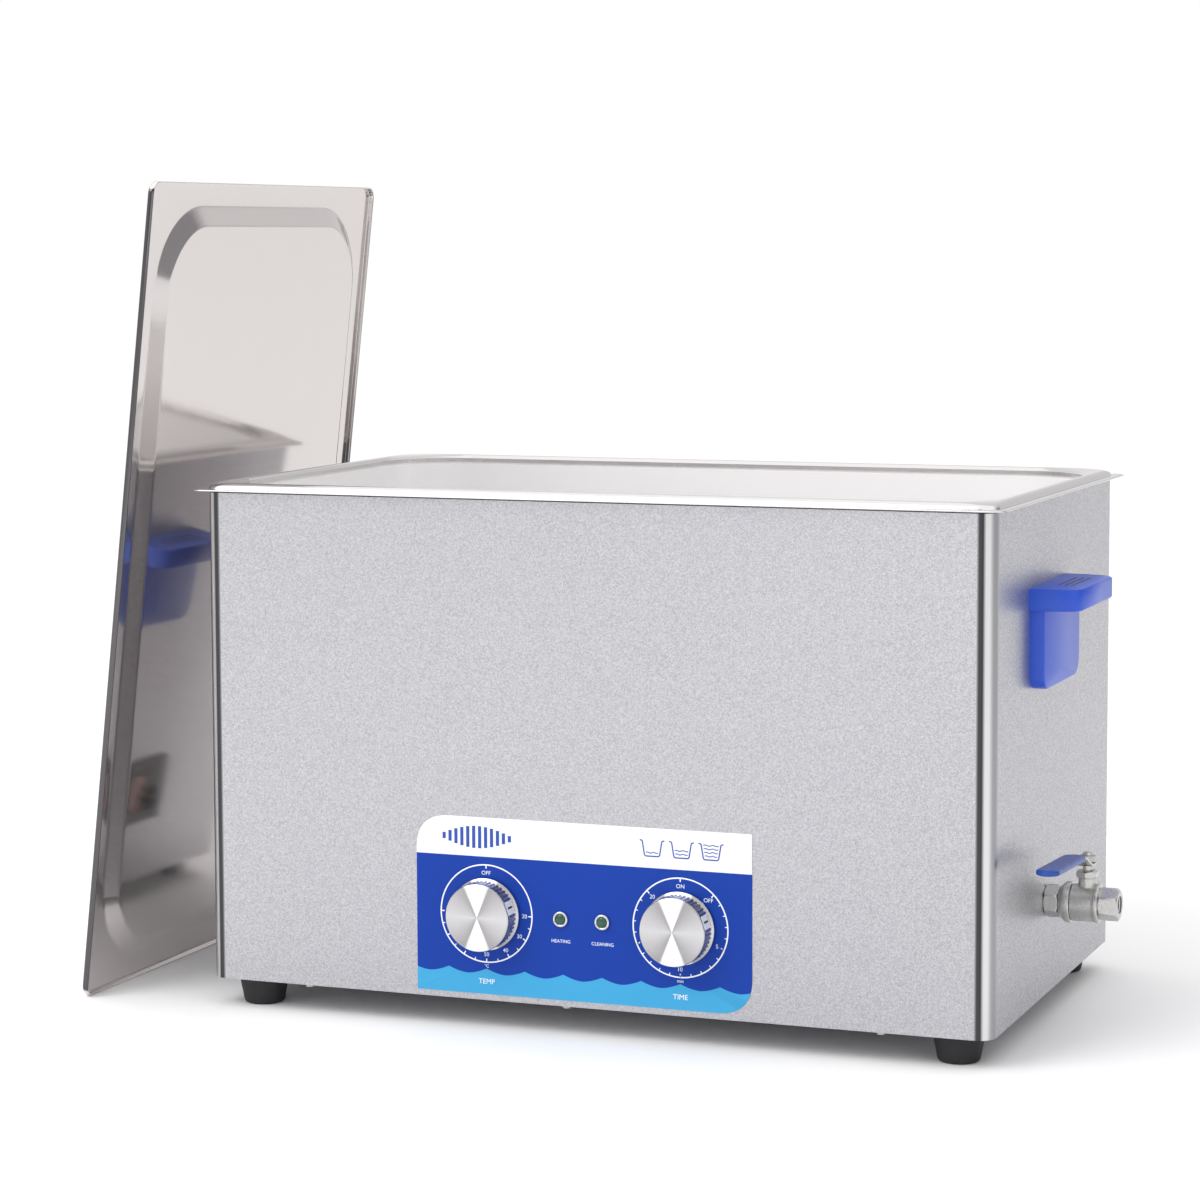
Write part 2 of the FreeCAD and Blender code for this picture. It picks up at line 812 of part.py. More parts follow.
def make_panel(model):
    """Printed overlay with two round corners, top left and bottom right."""
    s = model.sizes
    wall = s.rim_width / 2 - s.casing_inset
    left = s.panel_centre_x - s.panel_length / 2
    right = s.panel_centre_x + s.panel_length / 2
    low = s.panel_bottom
    high = low + s.panel_height
    panel = model.body("control_panel")
    sheet = model.sketch(panel, "XZ", level=wall)
    outline(
        sheet,
        [
            (left, low),
            (right - s.panel_corner, low, s.panel_corner),
            (right, low + s.panel_corner),
            (right, high),
            (left + s.panel_corner, high, s.panel_corner),
            (left, high - s.panel_corner),
        ],
    )
    for x in (s.dial_left_x, s.dial_right_x):
        circle(sheet, x, s.dial_height, s.bushing_radius + 0.4)
    for x in (s.lamp_left_x, s.lamp_right_x):
        circle(sheet, x, s.dial_height, s.lamp_body_radius + 0.1)
    model.pad(panel, sheet, s.panel_thick)
    return model.keep(panel)


def make_dials(model):
    """Each dial: control body behind the panel, its nut, its shaft and its knob."""
    s = model.sizes
    wall = -(s.rim_width / 2 - s.casing_inset)
    inner_wall = wall + s.sheet
    panel_face = wall - s.panel_thick
    knob_back = panel_face - s.knob_gap
    knob = [
        (s.shaft_radius, 1.2),
        (6, 1.2),
        (6, 13),
        (18.4, 13),
        (18.4, 0),
        (s.knob_base_radius, 0),
        (s.knob_base_radius, 2.2),
        (s.knob_face_radius + 0.5, 2.8),
        (s.knob_face_radius, s.knob_height - 0.8),
        (s.knob_face_radius - 0.8, s.knob_height),
        (0, s.knob_height),
        (0, 14),
        (s.shaft_radius, 14),
    ]
    nuts = []
    nut_bores = []
    for name, x, depth in (("temperature", s.dial_left_x, 30), ("timer", s.dial_right_x, 38)):
        z = s.dial_height
        model.keep(model.turned(f"knob_{name}", knob, x=x, y=knob_back, z=z, facing="front"))
        shaft_start = inner_wall + depth - 4
        reach = shaft_start - knob_back + 13.9
        model.keep(
            model.rod(f"shaft_{name}", s.shaft_radius, reach, x=x, y=shaft_start, z=z, facing="front")
        )
        case = model.block(
            f"{name}_case", 40, depth, 42, x=as_size(x) - 20, y=inner_wall, z=z - 21
        )
        bushing_length = 1.2 * s.sheet + s.panel_thick + 1.6
        bushing = model.rod(
            f"{name}_bushing", s.bushing_radius, bushing_length + 2,
            x=x, y=inner_wall + 2, z=z, facing="front",
        )
        bore = model.rod(
            f"{name}_bore", s.shaft_radius + s.shaft_play, depth + 10,
            x=x, y=shaft_start, z=z, facing="front",
        )
        solid = model.join(f"{name}_solid", [case, bushing])
        label = "thermostat" if name == "temperature" else "timer_switch"
        model.keep(model.cut(label, solid, [bore]))
        nuts.append(model.hexagon(f"{name}_nut", 13, 1.1, x=x, y=panel_face, z=z, facing="front"))
        nut_bores.append(
            model.rod(f"{name}_nut_bore", s.bushing_radius, 4, x=x, y=panel_face + 1, z=z, facing="front")
        )
    model.keep(model.cut("bushing_nuts", model.join("nut_blanks", nuts), nut_bores))


def make_sensor(model):
    """Capillary sensor: a thin tube up from the thermostat to a bulb on the tank's front wall."""
    s = model.sizes
    y = -(s.tank_width / 2 + s.sheet + 2.7)
    start_x = s.dial_left_x + 12
    start_z = s.dial_height + 21
    bend = 12
    bulb_z = as_size(150)
    tube = model.body("capillary_tube")
    path = model.sketch(tube, "XZ", level=-y)
    first_line = path.addGeometry(
        Part.LineSegment(
            Vector(start_x.value, start_z.value, 0), Vector(start_x.value, bulb_z.value - bend, 0)
        )
    )
    centre = Vector(start_x.value + bend, bulb_z.value - bend, 0)
    path.addGeometry(Part.ArcOfCircle(Part.Circle(centre, Vector(0, 0, 1), bend), math.pi / 2, math.pi))
    fix(path, "DistanceX", first_line, start_x)
    fix(path, "DistanceY", first_line, start_z)
    fix(path, "DistanceX", first_line, start_x, corner=2)
    fix(path, "DistanceY", first_line, bulb_z - bend, corner=2)
    fix(path, "DistanceX", 1, start_x + bend, corner=3)
    fix(path, "DistanceY", 1, bulb_z - bend, corner=3)
    path.addConstraint(Sketcher.Constraint("Coincident", 0, 2, 1, 2))
    fix(path, "DistanceX", 1, start_x + bend)
    section = model.sketch(tube, level=start_z)
    circle(section, start_x, y, 1)
    pipe = tube.newObject("PartDesign::AdditivePipe", "capillary_sweep")
    pipe.Profile = section
    pipe.Spine = path
    bulb = model.rod("sensor_bulb", 2.6, 80, x=start_x + bend, y=y, z=bulb_z, facing="right")
    model.keep(model.join("thermostat_sensor", [tube, bulb]))


def make_lamps(model):
    """Two pilot lamps: chrome bezel, green lens and body."""
    s = model.sizes
    face = -(s.rim_width / 2 - s.casing_inset) - s.panel_thick
    lens_radius = s.lamp_body_radius - 0.65
    bezel = [
        (lens_radius + 0.05, 0),
        (s.lamp_radius, 0),
        (s.lamp_radius, 1.2),
        (s.lamp_radius - 0.6, s.lamp_rise - 0.2),
        (lens_radius + 0.05, s.lamp_rise - 0.2),
    ]
    lens = [(0, -3), (lens_radius, -3), (lens_radius, 1.4), (lens_radius - 1, s.lamp_rise), (0, 2.5)]
    barrel = [
        (0, -22),
        (s.lamp_body_radius, -22),
        (s.lamp_body_radius, 0),
        (lens_radius + 0.05, 0),
        (lens_radius + 0.05, -3),
        (0, -3),
    ]
    for label, profile in (("lamp_bezels", bezel), ("lamp_lenses", lens), ("lamp_bodies", barrel)):
        pieces = []
        for index, x in enumerate((s.lamp_left_x, s.lamp_right_x), start=1):
            pieces.append(
                model.turned(f"{label}{index}", profile, x=x, y=face, z=s.dial_height, facing="front")
            )
        model.keep(model.join(label, pieces))


# Side handles


def make_handles(model):
    """Moulded bracket handles: a shelf for the fingers above a screwed plate."""
    s = model.sizes
    wall = s.rim_length / 2 - s.casing_inset
    shelf_bottom = s.handle_shelf_top - s.handle_shelf_thick
    wall_half = s.handle_wall_width / 2
    tip_half = s.handle_tip_width / 2
    spots = []
    for side, name in ((1, "right"), (-1, "left")):
        handle = model.body(f"handle_{name}", x=side * wall, y=s.handle_y)
        if side < 0:
            handle.Placement = Placement(handle.Placement.Base, Rotation(Vector(0, 0, 1), 180))
        shelf = model.sketch(handle, level=shelf_bottom)
        outline(
            shelf,
            [
                (0, -wall_half, 54),
                (s.handle_reach, -tip_half),
                (s.handle_reach, tip_half, 54),
                (0, wall_half),
            ],
        )
        model.pad(handle, shelf, s.handle_shelf_thick)
        plate = model.sketch(handle, "YZ")
        middle = (s.handle_plate_bottom + s.handle_shelf_top) / 2
        height = s.handle_shelf_top - s.handle_plate_bottom - 2
        rectangle(plate, 0, middle - 1, s.handle_plate_width, height)
        model.pad(handle, plate, s.handle_plate_thick)
        model.round_edges(handle, 12, corner_of_plate(s.handle_plate_bottom))
        model.round_edges(handle, 1.2, flat_at(s.handle_shelf_top))
        groove = model.sketch(handle, level=s.handle_shelf_top)
        rectangle(groove, 12, 0, 1.5, 50)
        cut = model.pocket(handle, groove, 1.2)
        model.rows(handle, cut, groove, ("H_Axis", 8.6, 3))
        holes = model.sketch(handle, "YZ")
        for step in (-1, 1):
            circle(holes, step * s.handle_screw_spread / 2, s.handle_screw_height, s.handle_screw_radius)
        model.pocket(handle, holes, 7, along=True)
        model.keep(handle)
        for step in (-1, 1):
            y = s.handle_y + step * s.handle_screw_spread / 2
            spots.append((side, y))
    pieces = []
    head_x = wall - s.sheet
    for index, (side, y) in enumerate(spots, start=1):
        facing = "left" if side > 0 else "right"
        z = s.handle_screw_height
        head = model.rod(f"handle_screw_head{index}", 4.4, 3, x=side * head_x, y=y, z=z, facing=facing)
        shank_x = side * (head_x + 7.5)
        shank = model.rod(
            f"handle_screw_shank{index}", s.handle_screw_radius, 7.5, x=shank_x, y=y, z=z, facing=facing
        )
        pieces += [head, shank]
    model.keep(model.join("handle_screws", pieces))


def corner_of_plate(bottom):
    """A test for the two short edges across the bottom corners of a handle's plate."""
    low = as_size(bottom).value

    def chosen(edge):
        box = edge.BoundBox
        return abs(box.ZMin - low) < TOUCH and abs(box.ZMax - low) < TOUCH and box.YLength < TOUCH

    return chosen


# Drain line and valve


def make_drain(model):
    """Tank outlet, elbow hose and the threaded fitting through the casing wall."""
    s = model.sizes
    wall = s.rim_length / 2 - s.casing_inset
    floor_top = s.rim_lip_top + s.rim_bead_rise - s.tank_depth
    floor_bottom = floor_top - s.sheet
    x = s.drain_x
    y = s.drain_y
    z = s.drain_z
    barb = s.hose_bore - 0.05
    spigot = [
        (s.pipe_bore, -1.5),
        (12, -1.5),
        (12, 0),
        (8, 0),
        (8, 14),
        (barb, 14),
        (barb, 34),
        (s.pipe_bore, 34),
    ]
    model.keep(model.turned("drain_spigot", spigot, x=x, y=y, z=floor_top, facing="down"))
    nut = model.hexagon("spigot_nut_blank", 22, 6, x=x, y=y, z=floor_bottom - 6)
    nut_bore = model.rod("spigot_nut_bore", 8, 8, x=x, y=y, z=floor_bottom - 7)
    model.keep(model.cut("spigot_nut", nut, [nut_bore]))
    make_hose(model, floor_top - 16, wall - 8.5)
    pieces = [
        model.rod("nipple_barb", barb, 16, x=wall - 24, y=y, z=z, facing="right"),
        model.rod("nipple_thread", s.pipe_thread_radius, 24.5, x=wall - 8, y=y, z=z, facing="right"),
        model.hexagon("nipple_hexagon", s.hex_flats, 9.2, x=wall, y=y, z=z, facing="right"),
    ]
    bore = model.rod("nipple_bore", s.pipe_bore, 42, x=wall - 24.5, y=y, z=z, facing="right")
    model.keep(model.cut("wall_nipple", model.join("nipple_solid", pieces), [bore]))
    lock = model.hexagon("lock_nut_blank", 19, 5, x=wall - s.sheet - 5, y=y, z=z, facing="right")
    lock_bore = model.rod("lock_nut_bore", s.pipe_thread_radius, 8, x=wall - 8, y=y, z=z, facing="right")
    model.keep(model.cut("nipple_lock_nut", lock, [lock_bore]))


def make_hose(model, top, end_x):
    """Moulded silicone elbow and its two band clamps."""
    s = model.sizes
    hose = model.body("drain_hose")
    path = model.sketch(hose, "XZ", level=-s.drain_y)
    bend = s.hose_bend
    corner = Vector((s.drain_x + bend).value, (s.drain_z + bend).value, 0)
    start = Vector(s.drain_x.value, top.value, 0)
    foot = Vector(s.drain_x.value, corner.y, 0)
    turn = Vector(corner.x, s.drain_z.value, 0)
    path.addGeometry(Part.LineSegment(start, foot))
    path.addGeometry(
        Part.ArcOfCircle(Part.Circle(corner, Vector(0, 0, 1), bend.value), math.pi, 1.5 * math.pi)
    )
    path.addGeometry(Part.LineSegment(turn, Vector(end_x.value, s.drain_z.value, 0)))
    path.addConstraint(Sketcher.Constraint("Coincident", 0, 2, 1, 1))
    path.addConstraint(Sketcher.Constraint("Coincident", 1, 2, 2, 1))
    fix(path, "DistanceX", 0, s.drain_x)
    fix(path, "DistanceY", 0, top)
    fix(path, "DistanceX", 0, s.drain_x, corner=2)
    fix(path, "DistanceY", 0, s.drain_z + bend, corner=2)
    fix(path, "DistanceX", 1, s.drain_x + bend, corner=3)
    fix(path, "DistanceY", 1, s.drain_z + bend, corner=3)
    fix(path, "DistanceX", 2, s.drain_x + bend)
    fix(path, "DistanceX", 2, end_x, corner=2)
    fix(path, "DistanceY", 2, s.drain_z, corner=2)
    for kind, radius in (("Additive", s.hose_radius), ("Subtractive", s.hose_bore)):
        section = model.sketch(hose, level=top)
        circle(section, s.drain_x, s.drain_y, radius)
        pipe = hose.newObject(f"PartDesign::{kind}Pipe", f"hose_{kind}")
        pipe.Profile = section
        pipe.Spine = path
    model.keep(hose)
    band = [(s.hose_radius, 0), (s.hose_radius + 1.2, 0), (s.hose_radius + 1.2, 8), (s.hose_radius, 8)]
    upper = model.turned("clamp_band1", band, x=s.drain_x, y=s.drain_y, z=top - 12)
    lower = model.turned("clamp_band2", band, x=end_x - 11, y=s.drain_y, z=s.drain_z, facing="right")
    upper_screw = model.block(
        "clamp_screw1", 10, 5, 8, x=s.drain_x - 5, y=s.drain_y - s.hose_radius - 6, z=top - 12
    )
    lower_screw = model.block(
        "clamp_screw2", 8, 10, 5, x=end_x - 11, y=s.drain_y - 5, z=s.drain_z - s.hose_radius - 6
    )
    model.keep(model.join("hose_clamps", [upper, upper_screw, lower, lower_screw]))


def make_valve(model):
    """Two-piece ball valve. Lengths run along the pipe from the casing wall."""
    s = model.sizes
    wall = s.rim_length / 2 - s.casing_inset
    y = s.drain_y
    z = s.drain_z
    joint = 16.7
    chamber = s.ball_radius + 2.05
    chamber_start = s.ball_centre - 7
    chamber_end = s.ball_centre + 7
    hex_start = 34.4
    mouth = s.ball_centre + 10 + s.outlet_thread_length
    end_piece = [
        (s.pipe_thread_radius, 9.3),
        (9.6, 9.3),
        (12.9, 13),
        (12.9, joint),
        (chamber - 0.05, joint),
        (chamber - 0.05, chamber_start),
        (s.ball_bore, chamber_start),
        (s.ball_bore, 17.3),
        (s.pipe_thread_radius, 17.3),
    ]
    model.keep(model.turned("valve_end_piece", end_piece, x=wall, y=y, z=z, facing="right"))
    barrel = [
        (0, joint + 0.1),
        (11.6, joint + 0.1),
        (11.6, 31.4),
        (12.4, 32.4),
        (12.4, hex_start),
        (0, hex_start),
    ]
    stem_x = wall + s.ball_centre
    boss_top = z + 16.2
    pieces = [
        model.turned("valve_barrel", barrel, x=wall, y=y, z=z, facing="right"),
        model.hexagon(
            "valve_outlet", s.hex_flats, mouth - hex_start, x=wall + hex_start, y=y, z=z, facing="right"
        ),
        model.rod("valve_boss", 5.6, boss_top - z, x=stem_x, y=y, z=z),
    ]
    bores = [
        ("chamber", chamber, joint, chamber_end),
        ("passage", s.ball_bore, chamber_end - 1, s.ball_centre + 11),
        ("outlet_thread", s.outlet_thread_radius, s.ball_centre + 10, mouth + 1),
    ]
    tools = [
        model.rod(f"valve_{name}", radius, as_size(end) - start, x=wall + start, y=y, z=z, facing="right")
        for name, radius, start, end in bores
    ]
    tools.append(model.rod("valve_stem_bore", s.stem_radius + s.shaft_play, 20, x=stem_x, y=y, z=z))
    model.keep(model.cut("valve_body", model.join("valve_solid", pieces), tools))
    seats = []
    for index, start in enumerate((chamber_start, chamber_end - 3.4), start=1):
        ring = washer(s.ball_bore + 0.1, chamber - 0.15, start, 3.4)
        seats.append(model.turned(f"valve_seat{index}", ring, x=wall, y=y, z=z, facing="right"))
    hollow = model.sphere("seat_hollow", s.ball_radius + s.shaft_play, x=stem_x, y=y, z=z)
    model.keep(model.cut("valve_seats", model.join("seat_blanks", seats), [hollow]))
    nut = model.hexagon("packing_blank", 12.5, 4.2, x=stem_x, y=y, z=boss_top)
    nut_bore = model.rod("packing_bore", s.stem_radius + s.shaft_play, 8, x=stem_x, y=y, z=boss_top - 1)
    model.keep(model.cut("packing_nut", nut, [nut_bore]))
    make_lever(model, stem_x)


def make_lever(model, stem_x):
    """What turns together: ball, stem, bent lever, vinyl grip and top nut."""
    s = model.sizes
    y = s.drain_y
    slot_floor = s.drain_z + s.ball_bore + 1.1
    ball = model.sphere("ball_blank", s.ball_radius, x=stem_x, y=y, z=s.drain_z)
    bore = model.rod("ball_bore_tool", s.ball_bore, 20, x=stem_x, y=y - 10, z=s.drain_z, facing="back")
    slot = model.rod("ball_slot", s.stem_radius, 8, x=stem_x, y=y, z=slot_floor)
    model.keep(model.cut("valve_ball", ball, [bore, slot]))
    model.keep(model.rod("valve_stem", s.stem_radius, s.stem_top - slot_floor, x=stem_x, y=y, z=slot_floor))
    low = s.lever_hub_z
    thick = s.lever_thick
    bend_y = y - 8
    top_y = y - 28
    tip_y = y - s.lever_length
    top_z = low + 9
    tip_z = low + 13
    lever = model.body("valve_lever")
    strap = model.sketch(lever, "YZ", level=stem_x)
    outline(
        strap,
        [
            (y + 7, low),
            (y + 7, low + thick),
            (bend_y, low + thick),
            (top_y, top_z + thick),
            (tip_y, tip_z + thick),
            (tip_y, tip_z),
            (top_y, top_z),
            (bend_y, low),
        ],
    )
    model.pad(lever, strap, s.lever_width, midplane=True)
    hole = model.sketch(lever, level=low)
    circle(hole, stem_x, y, s.stem_radius)
    model.pocket(lever, hole, 5, along=True)
    model.keep(lever)
    slope = (tip_z - top_z) / (top_y - tip_y)
    near_y = tip_y - 2
    far_y = near_y + s.grip_length
    near_z = tip_z + 2 * slope
    far_z = near_z - slope * s.grip_length
    grip = model.body("lever_grip")
    sleeve = model.sketch(grip, "YZ", level=stem_x)
    wall = s.grip_wall
    outline(
        sleeve,
        [
            (near_y, near_z - wall),
            (far_y, far_z - wall),
            (far_y, far_z + thick + wall),
            (near_y, near_z + thick + wall),
        ],
    )
    model.pad(grip, sleeve, s.grip_width, midplane=True)
    model.round_edges(grip, 5, upright_at(near_y))
    core = model.sketch(grip, "YZ", level=stem_x)
    outline(core, [(tip_y, tip_z), (far_y, far_z), (far_y, far_z + thick), (tip_y, tip_z + thick)])
    hollow = model.pocket(grip, core, s.lever_width)
    hollow.Midplane = True
    model.keep(grip)
    nut_z = low + thick
    nut = model.hexagon("lever_nut_blank", 10, 4, x=stem_x, y=y, z=nut_z)
    nut_bore = model.rod("lever_nut_bore", s.stem_radius, 8, x=stem_x, y=y, z=low)
    model.keep(model.cut("lever_nut", nut, [nut_bore]))


def upright_at(y):
    """A test for upright edges at one depth."""
    depth = as_size(y).value

    def chosen(edge):
        box = edge.BoundBox
        return abs(box.YMin - depth) < TOUCH and abs(box.YMax - depth) < TOUCH and box.XLength < TOUCH

    return chosen


# Power inlet, fan and electronics


def make_inlet(model):
    """Appliance inlet, rocker switch and fuse drawer in one module on the left side."""
    s = model.sizes
    wall = -(s.rim_length / 2 - s.casing_inset)
    y = s.inlet_y
    z = s.inlet_z
    plate = model.block(
        "inlet_plate", 2.5, s.inlet_width, s.inlet_height, x=wall - 2.5,
        y=y - s.inlet_width / 2, z=z - s.inlet_height / 2,
    )
    box = model.block(
        "inlet_box", 24, s.inlet_width - 6, s.inlet_height - 6, x=wall - 1,
        y=y - s.inlet_width / 2 + 3, z=z - s.inlet_height / 2 + 3,
    )
    socket = model.block("inlet_socket", 18.5, 25, 17.5, x=wall - 3, y=y - 4, z=z - 15)
    drawer_well = model.block("drawer_well", 18.5, 25, 9, x=wall - 3, y=y - 4, z=z + 7)
    rocker_well = model.block("rocker_well", 15.5, 13.4, 29, x=wall - 3, y=y - 20.2, z=z - 14.5)
    module = model.join("inlet_solid", [plate, box])
    model.keep(model.cut("power_inlet", module, [socket, drawer_well, rocker_well]))
    pins = [
        model.block("inlet_pin1", 12.5, 4, 2, x=wall + 3, y=y - 0.5, z=z - 9),
        model.block("inlet_pin2", 12.5, 4, 2, x=wall + 3, y=y + 13.5, z=z - 9),
        model.block("inlet_pin3", 12.5, 4, 2, x=wall + 3, y=y + 6.5, z=z - 5),
    ]
    model.keep(model.join("inlet_pins", pins))
    drawer = model.block("drawer_block", 17, 24.4, 8.4, x=wall - 2.3, y=y - 3.7, z=z + 7.3)
    finger = model.block("drawer_finger", 1.2, 8, 2.4, x=wall - 2.6, y=y + 4.5, z=z + 10.2)
    model.keep(model.cut("fuse_drawer", drawer, [finger]))
    rocker = model.body("rocker_switch", x=wall - 0.5, y=y - 13.5, z=z)
    profile = model.sketch(rocker, "XZ")
    outline(
        profile,
        [(10, -4), (10, 4), (2, 12.8), (-3.2, 13.2), (-1.2, 0.6), (-2, -13.4), (3, -12.4)],
    )
    model.pad(rocker, profile, 12.6, midplane=True)
    pivot = model.sketch(rocker, "XZ", level=7)
    circle(pivot, 3, 0, 1.2)
    model.pocket(rocker, pivot, 14)
    return model.keep(rocker)


def fan_screw_spots(s):
    """The four corner screws of the fan, on the back wall."""
    half = s.fan_screw_pitch / 2
    return [(s.fan_x + i * half, s.fan_z + j * half) for i in (-1, 1) for j in (-1, 1)]


def make_fan(model):
    """Cooling fan on the inside of the back wall, with a wire guard outside."""
    s = model.sizes
    wall = s.rim_width / 2 - s.casing_inset
    inner_wall = wall - s.sheet
    x = s.fan_x
    z = s.fan_z
    half = s.fan_size / 2
    start_y = inner_wall - s.fan_thick
    frame = model.block(
        "fan_block", s.fan_size, s.fan_thick, s.fan_size, x=x - half, y=start_y, z=z - half
    )
    duct = model.rod("fan_duct", s.fan_bore, s.fan_thick + 2, x=x, y=start_y - 1, z=z, facing="back")
    screw_bores = [
        model.rod(
            f"fan_bore{i}", s.small_screw_radius + 0.1, s.fan_thick + 2,
            x=a, y=start_y - 1, z=b, facing="back",
        )
        for i, (a, b) in enumerate(fan_screw_spots(s), start=1)
    ]
    ring = model.cut("fan_ring", frame, [duct] + screw_bores)
    motor = model.rod("fan_motor", s.fan_hub - 1, 4, x=x, y=start_y, z=z, facing="back")
    pin = model.rod("fan_pin", 1.5, 18, x=x, y=start_y, z=z, facing="back")
    strut_flat = model.block("fan_strut1", s.fan_size - 2, 3, 4, x=x - half + 1, y=start_y, z=z - 2)
    strut_tall = model.block("fan_strut2", 4, 3, s.fan_size - 2, x=x - 2, y=start_y, z=z - half + 1)
    model.keep(model.join("fan_housing", [ring, motor, pin, strut_flat, strut_tall]))
    rotor = model.body("fan_rotor", x=x, y=start_y, z=z, facing="back")
    hub = model.sketch(rotor, "XZ")
    outline(
        hub,
        [(1.55, 10), (4, 10), (4, 20), (s.fan_hub - 1.5, 20), (s.fan_hub - 1.5, 5), (s.fan_hub, 5),
         (s.fan_hub, 22), (0, 22), (0, 19), (1.55, 19)],
    )
    model.revolve(rotor, hub)
    blade = model.sketch(rotor, "YZ", level=s.fan_hub - 0.8)
    outline(blade, [(-6, 6), (-4.2, 6), (6, 20), (4.2, 20)])
    vane = model.pad(rotor, blade, s.fan_bore - s.fan_hub - 0.4)
    turn = model.circle_of(rotor, vane, hub, 7)
    turn.Axis = (hub, ["V_Axis"])
    model.keep(rotor)
    wires = []
    for index, radius in enumerate((12, 22, 32, 38), start=1):
        wire = model.document.addObject("Part::Torus", f"guard_ring{index}")
        bind(wire, "Radius1", radius)
        bind(wire, "Radius2", 0.9)
        wires.append(place(wire, x=x, y=wall + 0.95, z=z, facing="back"))
    for index, (i, j) in enumerate(((-1, -1), (-1, 1)), start=1):
        reach = s.fan_screw_pitch / 2 - 2
        bar = model.body(f"guard_bar{index}")
        wires.append(bar)
        line = model.sketch(bar, "XZ", level=-(wall + 0.2))
        thin = 0.65
        outline(
            line,
            [
                (x - reach - thin, z - i * j * reach + i * j * thin),
                (x - reach + thin, z - i * j * reach - i * j * thin),
                (x + reach + thin, z + i * j * reach - i * j * thin),
                (x + reach - thin, z + i * j * reach + i * j * thin),
            ],
        )
        model.pad(bar, line, 1.6, against=True)
    eyes = []
    for index, (a, b) in enumerate(fan_screw_spots(s), start=1):
        eyes.append(model.rod(f"guard_eye{index}", 3.6, 1.6, x=a, y=wall, z=b, facing="back"))
    holes = [
        model.rod(f"guard_hole{i}", s.small_screw_radius + 0.1, 4, x=a, y=wall - 1, z=b, facing="back")
        for i, (a, b) in enumerate(fan_screw_spots(s), start=1)
    ]
    model.keep(model.cut("fan_guard", model.join("guard_wires", wires + eyes), holes))
    spots = [(a, wall + 1.6, b) for a, b in fan_screw_spots(s)]
    reach = s.fan_thick + 1.6 + s.sheet - 2
    screws(model, "fan_screws", spots, 2.8, 1.6, s.small_screw_radius, reach, "back")


def make_electronics(model):
    """Ultrasonic generator: a board on stand-offs with its large components."""
    s = model.sizes
    floor = s.casing_bottom + s.sheet + s.base_thick
    level = floor + s.board_lift
    top = level + s.board_thick
    half_x = s.board_length / 2
    half_y = s.board_width / 2
    corners = [
        (s.board_x + i * (half_x - 6), s.board_y + j * (half_y - 6)) for i in (-1, 1) for j in (-1, 1)
    ]
    model.keep(
        model.centred_block(
            "generator_board", s.board_length, s.board_width, s.board_thick, s.board_x, s.board_y, level
        )
    )
    posts = [
        model.rod(f"standoff{i}", 3, s.board_lift, x=x, y=y, z=floor) for i, (x, y) in enumerate(corners, 1)
    ]
    model.keep(model.join("board_standoffs", posts))
    sink = model.body("heat_sink", x=s.board_x - 20, y=s.board_y + 18, z=top)
    foot = model.sketch(sink)
    rectangle(foot, 0, 0, 70, 36)
    model.pad(sink, foot, 4)
    fin = model.sketch(sink, level=3)
    rectangle(fin, 0, -17, 70, 1.6)
    rib = model.pad(sink, fin, 23)
    model.rows(sink, rib, fin, ("V_Axis", 34, 8))
    model.keep(sink)
    transistors = [
        model.block(f"transistor{i}", 15, 5, 20, x=s.board_x - 53 + 18 * i, y=s.board_y - 6, z=top)
        for i in range(4)
    ]
    model.keep(model.join("power_transistors", transistors))
    core = model.centred_block("core_block", 42, 34, 26, s.board_x + 38, s.board_y + 20, top)
    window = model.centred_block("core_window", 30, 40, 14, s.board_x + 38, s.board_y + 20, top + 6)
    laminations = model.cut("transformer_core", core, [window])
    coil = model.centred_block(
        "transformer_coil", 29.6, 38, 13.6, s.board_x + 38, s.board_y + 20, top + 6.2
    )
    model.keep(model.join("output_transformer", [laminations, coil]))
    cans = [
        model.rod(f"capacitor{i}", 10, 26, x=s.board_x - 40 + 26 * i, y=s.board_y - 28, z=top)
        for i in range(3)
    ]
    model.keep(model.join("filter_capacitors", cans))


# Lid


def on_lid(model, piece):
    """Stand a piece that is drawn on the flat lid where the leaning lid has it.

    The lid's own frame has its flange at z = 0 and its outer side up; the lid stands on
    its short lip, leaning towards the cleaner.
    """
    s = model.sizes
    lean = s.lid_lean
    centre_x = s.lid_foot_x + s.lid_length / 2 * lean.sine() - s.lid_lip * lean.cosine()
    centre_z = s.lid_length / 2 * lean.cosine() + s.lid_lip * lean.sine()
    piece.Placement.Rotation = Rotation(Vector(0, -1, 0), 90 - lean.value)
    bind(piece, "Placement.Rotation.Angle", 90 - lean)
    bind(piece, "Placement.Base.x", centre_x)
    bind(piece, "Placement.Base.y", s.lid_centre_y)
    bind(piece, "Placement.Base.z", centre_z)


